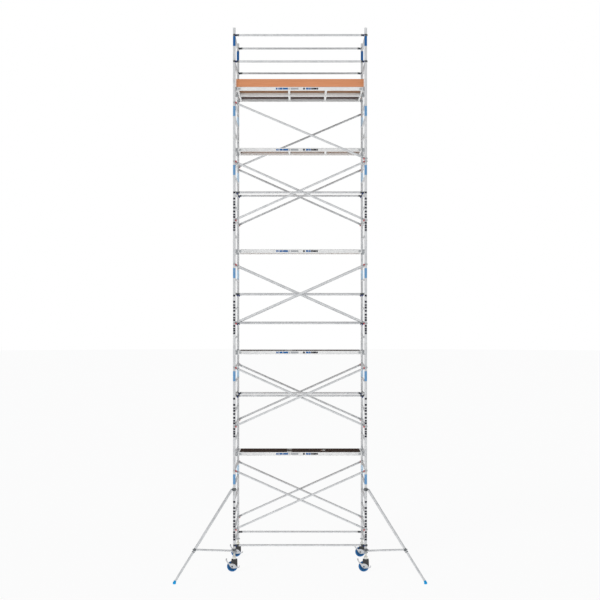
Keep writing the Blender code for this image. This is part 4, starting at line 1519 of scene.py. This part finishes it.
@dataclass
class CastorSet:
    """The four braked, height-adjustable castors. Sizes are counted from the swivel axis."""

    layout: Layout
    trail: float = 0.038
    wheel_radius: float = 0.10
    tyre_half: float = 0.023
    crown_foot: float = 0.215
    crown_top: float = 0.2397
    cup_foot: float = 0.240
    cup_top: float = 0.300
    nut_foot: float = 0.345
    plate_inner: float = 0.030
    plate_outer: float = 0.036
    spindle_top: float = 0.815
    thread_pitch: float = 0.0052
    thread_turns: int = 44
    fork_foot: float = 0.086
    ribs: int = 8
    treads: int = 5
    tread_pitch: float = 0.014

    def model_leg(self) -> Piece:
        """Model the threaded spindle and the bearing cup."""
        foot = self.cup_top - 0.02
        spindle = Bench.rod((0, 0, foot), (0, 0, self.spindle_top), 0.0172, 24, 0.001)
        cup = Bench.turned(
            (0, 0, self.cup_foot),
            (0, 0, 1),
            [(0.030, 0.0), (0.0385, 0.0015), (0.039, 0.006), (0.039, 0.014), (0.0365, 0.017),
             (0.0365, 0.040), (0.0345, 0.048), (0.027, 0.055), (0.0225, 0.060), (0.019, 0.064)],
            32,
        )
        thread = Bench.ring((0, 0, self.cup_top + 0.012), (0, 0, 1), 0.0174, 0.0017, 24, 6)
        rows = thread.modifiers.new("thread", "ARRAY")
        rows.use_relative_offset = False
        rows.use_constant_offset = True
        rows.constant_offset_displace = (0, 0, self.thread_pitch)
        rows.count = self.thread_turns
        Bench.apply(thread, rows)
        return Bench.joined([spindle, cup, thread])

    def model_nut(self) -> Piece:
        """Model the adjusting nut's cast collar with its two lugs."""
        body = Bench.turned(
            (0, 0, self.nut_foot),
            (0, 0, 1),
            [(0.026, 0.0), (0.030, 0.003), (0.030, 0.022), (0.0275, 0.026), (0.0275, 0.0345)],
            24,
        )
        lugs = [
            Bench.block(
                (x, -0.011, self.nut_foot + 0.006),
                (x + 0.014, 0.011, self.nut_foot + 0.026),
                0.003,
                3,
            )
            for x in (-0.040, 0.026)
        ]
        return Bench.joined([body, *lugs])

    def model_fork(self) -> Piece:
        """Model the pressed fork: crown, two tapering plates, kingpin, axle and nuts."""
        trail = -self.trail
        foot = self.fork_foot
        outline = [
            (-0.052, self.crown_top), (0.056, self.crown_top), (0.058, 0.205), (0.059, 0.165),
            (0.060, 0.130), (0.052, 0.100), (0.030, foot), (trail, foot - 0.006),
            (trail - 0.020, 0.090), (trail - 0.024, 0.112), (-0.060, 0.165), (-0.056, 0.205),
        ]
        crown = Bench.block(
            (-0.052, -self.plate_outer, self.crown_foot + 0.016),
            (0.056, self.plate_outer, self.crown_top),
            0.003,
            3,
        )
        plates = [
            Bench.plate(outline, self.plate_inner, self.plate_outer, 0.0012),
            Bench.plate(outline, -self.plate_outer, -self.plate_inner, 0.0012),
        ]
        race = Bench.turned(
            (0, 0, self.crown_foot), (0, 0, 1), [(0.030, 0.0), (0.034, 0.004), (0.034, 0.018)], 28
        )
        return Bench.joined([crown, *plates, race])

    def model_axle(self) -> Piece:
        """Model the axle with its nut and washers, and the kingpin's head."""
        x, z = -self.trail, self.wheel_radius
        return Bench.joined([
            Bench.rod((x, -0.052, z), (x, 0.045, z), 0.006, 16, 0.001),
            Bench.rod((x, -0.0505, z), (x, -0.0436, z), 0.0135, 6, 0.001),
            Bench.rod((x, -0.0440, z), (x, -0.0427, z), 0.0160, 20, 0.0004),
            Bench.rod((x, 0.0363, z), (x, 0.0440, z), 0.0105, 6, 0.001),
            Bench.rod((x, 0.0360, z), (x, 0.0375, z), 0.0135, 20, 0.0004),
            Bench.rod((0, 0, 0.2065), (0, 0, 0.2152), 0.0125, 6, 0.001),
        ])

    def model_tyre(self) -> Piece:
        """Model the tyre, rounded over its tread, round the wheel's axis along Y."""
        r, half = self.wheel_radius, self.tyre_half
        inner = 0.070
        side = [
            (inner - 0.001, -half + 0.013), (inner, -half + 0.004), (0.082, -half),
            (0.092, -half + 0.001), (0.0965, -half + 0.005), (0.0992, -half + 0.012),
            (r, -half + 0.018),
        ]
        profile = side + [(radius, -height) for radius, height in reversed(side)]
        return Bench.turned((-self.trail, 0, r), (0, 1, 0), profile, 56)

    def model_hub(self) -> Piece:
        """Model the hub: a recessed disc with ribs and a bearing boss on each side."""
        centre = (-self.trail, 0, self.wheel_radius)
        half = self.tyre_half
        profile = [
            (0.012, -0.0285), (0.020, -0.0285), (0.022, -0.0265), (0.022, -0.012),
            (0.064, -0.012), (0.068, -half + 0.002), (0.072, -half + 0.0025),
        ]
        profile += [(radius, -height) for radius, height in reversed(profile)]
        body = Bench.turned(centre, (0, 1, 0), profile, 40)
        ribs = []
        for side in (-1, 1):
            near, far = side * 0.0115, side * 0.0195
            rib = Bench.block((0.020, near, -0.0022), (0.067, far, 0.0022), 0.0008)
            for step in range(self.ribs):
                turn = Matrix.Rotation(step * math.tau / self.ribs, 4, "Y")
                ribs.append(Bench.copied(rib, centre, turn))
            Bench.discard(rib)
        return Bench.joined([body, *ribs])

    def model_brake(self) -> Piece:
        """Model the brake: a triangular plate, a pedal bar above it and a release tab beside it."""
        x, z = -self.trail, self.wheel_radius
        fan = [
            (-0.012, -0.024), (0.010, -0.033), (0.040, -0.034), (0.072, -0.029), (0.104, -0.026),
            (0.124, -0.022), (0.135, -0.014), (0.138, 0.010), (0.128, 0.010), (0.122, -0.004),
            (0.106, -0.006), (0.086, 0.004), (0.070, 0.026), (0.048, 0.046), (0.018, 0.058),
            (-0.012, 0.058), (-0.034, 0.056), (-0.060, 0.072), (-0.086, 0.104), (-0.104, 0.137),
            (-0.120, 0.141), (-0.124, 0.124), (-0.108, 0.094), (-0.086, 0.064), (-0.062, 0.038),
            (-0.040, 0.004),
        ]
        outline = [(x + dx, z + dz) for dx, dz in fan]
        plate = Bench.plate(outline, -0.0425, -0.0385, 0.0009)
        pedal = Bench.block(
            (x - 0.124, -0.0405, z + 0.122), (x - 0.100, 0.036, z + 0.138), 0.003, 3
        )
        tab = Bench.block((x + 0.124, -0.0405, z - 0.014), (x + 0.138, 0.036, z + 0.008), 0.003, 3)
        return Bench.joined([plate, pedal, tab])

    def model_pad(self) -> Piece:
        """Model the rubber treads on the brake's pedal and tab."""
        x, z = -self.trail, self.wheel_radius
        pieces = []
        for step in range(self.treads):
            y = -0.030 + step * self.tread_pitch
            pieces.append(
                Bench.block(
                    (x - 0.122, y - 0.004, z + 0.137), (x - 0.102, y + 0.004, z + 0.1405), 0.001
                )
            )
        return Bench.joined(pieces)

    def build(self) -> None:
        """Build one of each piece and copy it to the four posts."""
        parts = (
            ("leg", "leg", self.model_leg(), ZINC, True),
            ("fork", "fork", self.model_fork(), FORK_BLACK, True),
            ("fork", "axle", self.model_axle(), DARK_STEEL, True),
            ("wheel", "tyre", self.model_tyre(), TYRE, True),
            ("wheel", "hub", self.model_hub(), HUB, True),
            ("brake_pedal", "brake", self.model_brake(), BRAKE_ZINC, True),
            ("brake_pedal", "brake_treads", self.model_pad(), FORK_BLACK, False),
        )
        nut = self.model_nut()
        nuts = []
        for side in Side:
            for face in Face:
                x, y = self.layout.post(side, face)
                name = f"{face.name.lower()}_{side.name.lower()}_castor"
                for body, piece, pattern, finish, stands in parts:
                    node = f"{name}_{body}"
                    full = f"{name}_{piece}" if piece != body else f"{node}_body"
                    copy = Bench.copied(pattern, (x, y, 0))
                    Bench.hand_over(copy, full, node, finish, [node] if stands else [])
                nuts.append(Bench.copied(nut, (x, y, 0)))
        Bench.discard(nut, *(part[2] for part in parts))
        Bench.hand_over(Bench.joined(nuts), "adjusting_nuts", TOWER, CAST_LIGHT)


# Stabilisers

# Level, and square to the plane in which a stabiliser's leg leans.
ACROSS = Vector((1, -1, 0)).normalized()


@dataclass
class StabiliserSet:
    """The two telescopic stabilisers clamped to the front posts.

    Reaches are counted from the post's axis along the leg's plan direction.
    """

    layout: Layout
    upper_z: float = 1.56
    lower_z: float = 0.41
    reach: float = 1.457
    leg_start: float = 0.06
    outer_radius: float = 0.025
    inner_radius: float = 0.0212
    arm_radius: float = 0.019
    collar_z: float = 0.55
    collar_half: float = 0.024
    coupler_heights: tuple[float, float] = (0.056, 0.044)
    shell: tuple[float, float] = (0.0262, 0.0335)
    overlap: float = 0.30

    def along(self, reach: float, z: float) -> Vector:
        """Return a point of the leg's plane, with the post at the origin."""
        step = reach * math.sqrt(0.5)
        return Vector((-step, -step, z))

    def tube_point(self, z: float) -> Vector:
        """Return the point of the leg's axis at a height."""
        share = (self.upper_z - z) / (self.upper_z - 0.030)
        return self.along(self.leg_start + share * (self.reach - self.leg_start), z)

    def model_coupler(self, z: float, height: float) -> Piece:
        """Model a swivel coupler round the post: two half shells, a hinge pin and a wing bolt.

        Args:
            z: Height of its middle.
            height: Its height.

        Returns:
            The coupler.
        """
        half = height / 2
        inner, outer = self.shell
        shells = []
        for end in (0, math.pi):
            steps = [math.radians(6 + 14 * i) + end for i in range(13)]
            arc = [(math.cos(a) * outer, math.sin(a) * outer) for a in steps]
            back = [(math.cos(a) * inner, math.sin(a) * inner) for a in reversed(steps)]
            shell = Bench.plate(arc + back, -half, half, 0.0015)
            shell.data.transform(Matrix.Rotation(math.pi / 2, 4, "X"))
            shells.append(shell)
        ears = [
            Bench.block((x, -0.012, -half + 0.003), (x + 0.012, 0.012, half - 0.003), 0.002)
            for x in (-0.044, 0.032)
        ]
        pin = Bench.rod((-0.039, 0, -half - 0.003), (-0.039, 0, half + 0.003), 0.0045, 12, 0.001)
        bolt = Bench.rod((0.040, -0.026, 0), (0.040, 0.030, 0), 0.0048, 12, 0.001)
        nut = Bench.rod((0.040, -0.024, 0), (0.040, -0.013, 0), 0.0098, 12, 0.0015)
        wings = [
            Bench.block((0.0375, -0.034, s - 0.007), (0.0425, -0.018, s + 0.007), 0.002, 3)
            for s in (-0.014, 0.014)
        ]
        whole = Bench.joined([*shells, *ears, pin, bolt, nut, *wings])
        whole.data.transform(
            Matrix.Translation((0, 0, z)) @ Matrix.Rotation(math.radians(-45), 4, "Z")
        )
        return whole

    def model_joint(self) -> Piece:
        """Model the forked joints between the couplers and the leg's tubes."""
        pieces = []
        for z, reach in ((self.upper_z, 0.072), (self.lower_z, 0.06)):
            lug = Bench.block((0.030, -0.010, -0.018), (reach + 0.012, 0.010, 0.018), 0.003, 3)
            lug.data.transform(
                Matrix.Translation((0, 0, z)) @ Matrix.Rotation(math.radians(225), 4, "Z")
            )
            middle, pin_end = self.along(reach, z), ACROSS * 0.028
            pin = Bench.rod(middle - pin_end, middle + pin_end, 0.0065, 6, 0.001)
            pieces += [lug, pin]
        return Bench.joined(pieces)

    def build_side(self, side: Side) -> None:
        """Build one stabiliser, mirrored for the right side.

        Args:
            side: The tower's end it is clamped to.
        """
        word = side.name.lower()
        x, y = self.layout.post(side, Face.FRONT)
        mirror = Matrix.Diagonal((-side.value, 1, 1, 1))
        node, foot_node = f"{word}_stabiliser_leg", f"{word}_stabiliser_foot"

        def place(piece: Piece) -> Piece:
            """Move a piece from the left post at the origin to its own post."""
            moved = Bench.copied(piece, (x, y, 0), mirror)
            Bench.discard(piece)
            return moved

        collar_end = self.tube_point(self.collar_z)
        slope = (self.tube_point(0.5) - self.tube_point(1.5)).normalized()
        outer_end = collar_end + slope * 0.042
        upper = self.along(self.leg_start + 0.006, self.upper_z) + slope * 0.004
        arm_start, arm_end = self.along(0.055, self.lower_z - 0.008), collar_end - slope * 0.006
        tubes = Bench.joined([
            Bench.rod(upper, outer_end, self.outer_radius, 32, 0.0012, 0.003, 0.05),
            Bench.rod(arm_start, arm_end, self.arm_radius, 28, 0.001),
        ])
        Bench.hand_over(place(tubes), f"{node}_tubes", node, ALUMINIUM, [node])
        half = self.collar_half
        collar = Bench.joined([
            Bench.rod(collar_end - slope * half, collar_end + slope * half, 0.0285, 32, 0.002),
            Bench.rod(outer_end - slope * 0.004, outer_end + slope * 0.010, 0.0268, 32, 0.002),
        ])
        places = zip((self.upper_z, self.lower_z), self.coupler_heights)
        couplers = [self.model_coupler(z, height) for z, height in places]
        couplers = Bench.joined([*couplers, self.model_joint(), collar])
        Bench.hand_over(place(couplers), f"{node}_couplers", node, COUPLER_CAST, [node])
        knob_at = collar_end + slope * 0.012
        up = ACROSS.cross(slope).normalized()
        if up.z < 0:
            up = -up
        knob = Bench.joined([
            Bench.rod(knob_at + up * 0.024, knob_at + up * 0.040, 0.005, 12, 0.001),
            Bench.rod(knob_at + up * 0.038, knob_at + up * 0.047, 0.009, 8, 0.002),
        ])
        Bench.hand_over(place(knob), f"{node}_knob", node, CAST_LIGHT)
        seat = self.tube_point(0.040)
        inner = Bench.rod(collar_end - slope * self.overlap, seat, self.inner_radius, 28, 0.001)
        Bench.hand_over(place(inner), f"{foot_node}_tube", foot_node, ALUMINIUM, [foot_node])
        centre = self.along(self.reach, 0)
        rubber = Bench.turned(
            tuple(centre), (0, 0, 1),
            [(0.022, 0.0), (0.0265, 0.003), (0.0290, 0.009), (0.0295, 0.018), (0.0290, 0.028),
             (0.0265, 0.037), (0.0210, 0.043), (0.012, 0.045)],
            32,
        )
        cap = Bench.rod(self.tube_point(0.030), self.tube_point(0.054), 0.0235, 28, 0.002)
        Bench.hand_over(
            place(Bench.joined([rubber, cap])), f"{foot_node}_rubber", foot_node, FOOT, [foot_node]
        )

    def build(self) -> None:
        """Build both stabilisers."""
        for side in Side:
            self.build_side(side)


# The stage


@dataclass
class Studio:
    """The pale floor, the soft light and the camera."""

    distance: float = 22.6
    eye: float = 5.03
    lens: float = 71.3
    shift: float = 0.01167
    key: float = 0.7
    fill: float = 0.2
    ambient: float = 0.49
    floor_glow: float = 2.2
    floor_share: float = 0.5
    camera_share: float = 0.92
    floor_radius: float = 120.0

    def add_world(self) -> None:
        """Light the scene evenly, and show white behind it and in what reflects."""
        world = bpy.data.worlds.new("studio")
        bpy.context.scene.world = world
        world.use_nodes = True
        tree = world.node_tree
        tree.nodes.clear()
        light = add_node(
            tree,
            "ShaderNodeBackground",
            {"Color": (0.95, 0.97, 1.0, 1.0), "Strength": self.ambient},
        )
        white = add_node(tree, "ShaderNodeBackground", {"Color": (1, 1, 1, 1), "Strength": 1.0})
        rays = add_node(tree, "ShaderNodeLightPath")
        seen = add_node(
            tree, "ShaderNodeMath", {"operation": "MAXIMUM"},
            {0: rays.outputs["Is Camera Ray"], 1: rays.outputs["Is Glossy Ray"]},
        )
        shown = add_node(
            tree, "ShaderNodeMath", {"operation": "MAXIMUM"},
            {0: seen.outputs["Value"], 1: rays.outputs["Is Transmission Ray"]},
        )
        both = add_node(
            tree, "ShaderNodeMixShader",
            links={0: shown.outputs["Value"], 1: light.outputs[0], 2: white.outputs[0]},
        )
        add_node(tree, "ShaderNodeOutputWorld", links={"Surface": both.outputs[0]})

    def add_floor(self) -> None:
        """Add the plain pale floor."""
        Bench.clear_selection()
        bpy.ops.mesh.primitive_circle_add(vertices=64, radius=self.floor_radius, fill_type="NGON")
        floor = bpy.context.object
        floor.name = "studio_floor"
        material = bpy.data.materials.new("pale_floor")
        material.use_nodes = True
        tree = material.node_tree
        shader = tree.nodes["Principled BSDF"]
        shader.inputs["Base Color"].default_value = linear("#F2F2F2")
        shader.inputs["Roughness"].default_value = 0.9
        rays = add_node(tree, "ShaderNodeLightPath")
        # White to the camera, and as bright as a lit studio floor to what stands on it.
        seen = rays.outputs["Is Camera Ray"]
        strength = spread(tree, seen, self.floor_glow, 1.0)
        share = spread(tree, seen, self.floor_share, self.camera_share)
        glow = add_node(tree, "ShaderNodeEmission", {"Color": (1, 1, 1, 1)}, {"Strength": strength})
        both = add_node(
            tree, "ShaderNodeMixShader", links={0: share, 1: shader.outputs[0], 2: glow.outputs[0]}
        )
        tree.links.new(both.outputs[0], tree.nodes["Material Output"].inputs["Surface"])
        floor.data.materials.append(material)

    def add_lights(self) -> None:
        """Add a soft key light from the front left and a fill from the right."""
        for name, strength, tilt, turn, angle in (
            ("key", self.key, 52, -38, 20), ("fill", self.fill, 65, 55, 40)
        ):
            bpy.ops.object.light_add(
                type="SUN", rotation=(math.radians(tilt), 0, math.radians(turn))
            )
            lamp = bpy.context.object
            lamp.name = f"studio_{name}"
            lamp.data.energy = strength
            lamp.data.angle = math.radians(angle)

    def add_camera(self, front_y: float) -> None:
        """Add the level camera in front of the tower.

        Args:
            front_y: Y of the front posts.
        """
        bpy.ops.object.camera_add(
            location=(0, front_y - self.distance, self.eye), rotation=(math.pi / 2, 0, 0)
        )
        camera = bpy.context.object
        camera.data.lens = self.lens
        camera.data.sensor_width = 36
        camera.data.shift_y = self.shift
        camera.data.clip_end = 300
        bpy.context.scene.camera = camera
        bpy.context.scene.view_settings.view_transform = "Standard"

    def build(self, layout: Layout) -> None:
        """Set up the floor, light and camera."""
        self.add_world()
        self.add_floor()
        self.add_lights()
        self.add_camera(layout.middle_y - layout.half_width)


def main() -> None:
    """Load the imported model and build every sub-assembly round it."""
    logging.basicConfig(level=logging.INFO, format="%(name)s: %(message)s")
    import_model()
    layout = Layout.from_model()
    Studio().build(layout)
    FrameStacks(layout).build()
    BraceSet(layout, ClawKit(layout)).build()
    MidRails(layout).build()
    PlatformSet(layout).build()
    ToeBoards(layout).build()
    CastorSet(layout).build()
    StabiliserSet(layout).build()


if __name__ == "__main__":
    main()
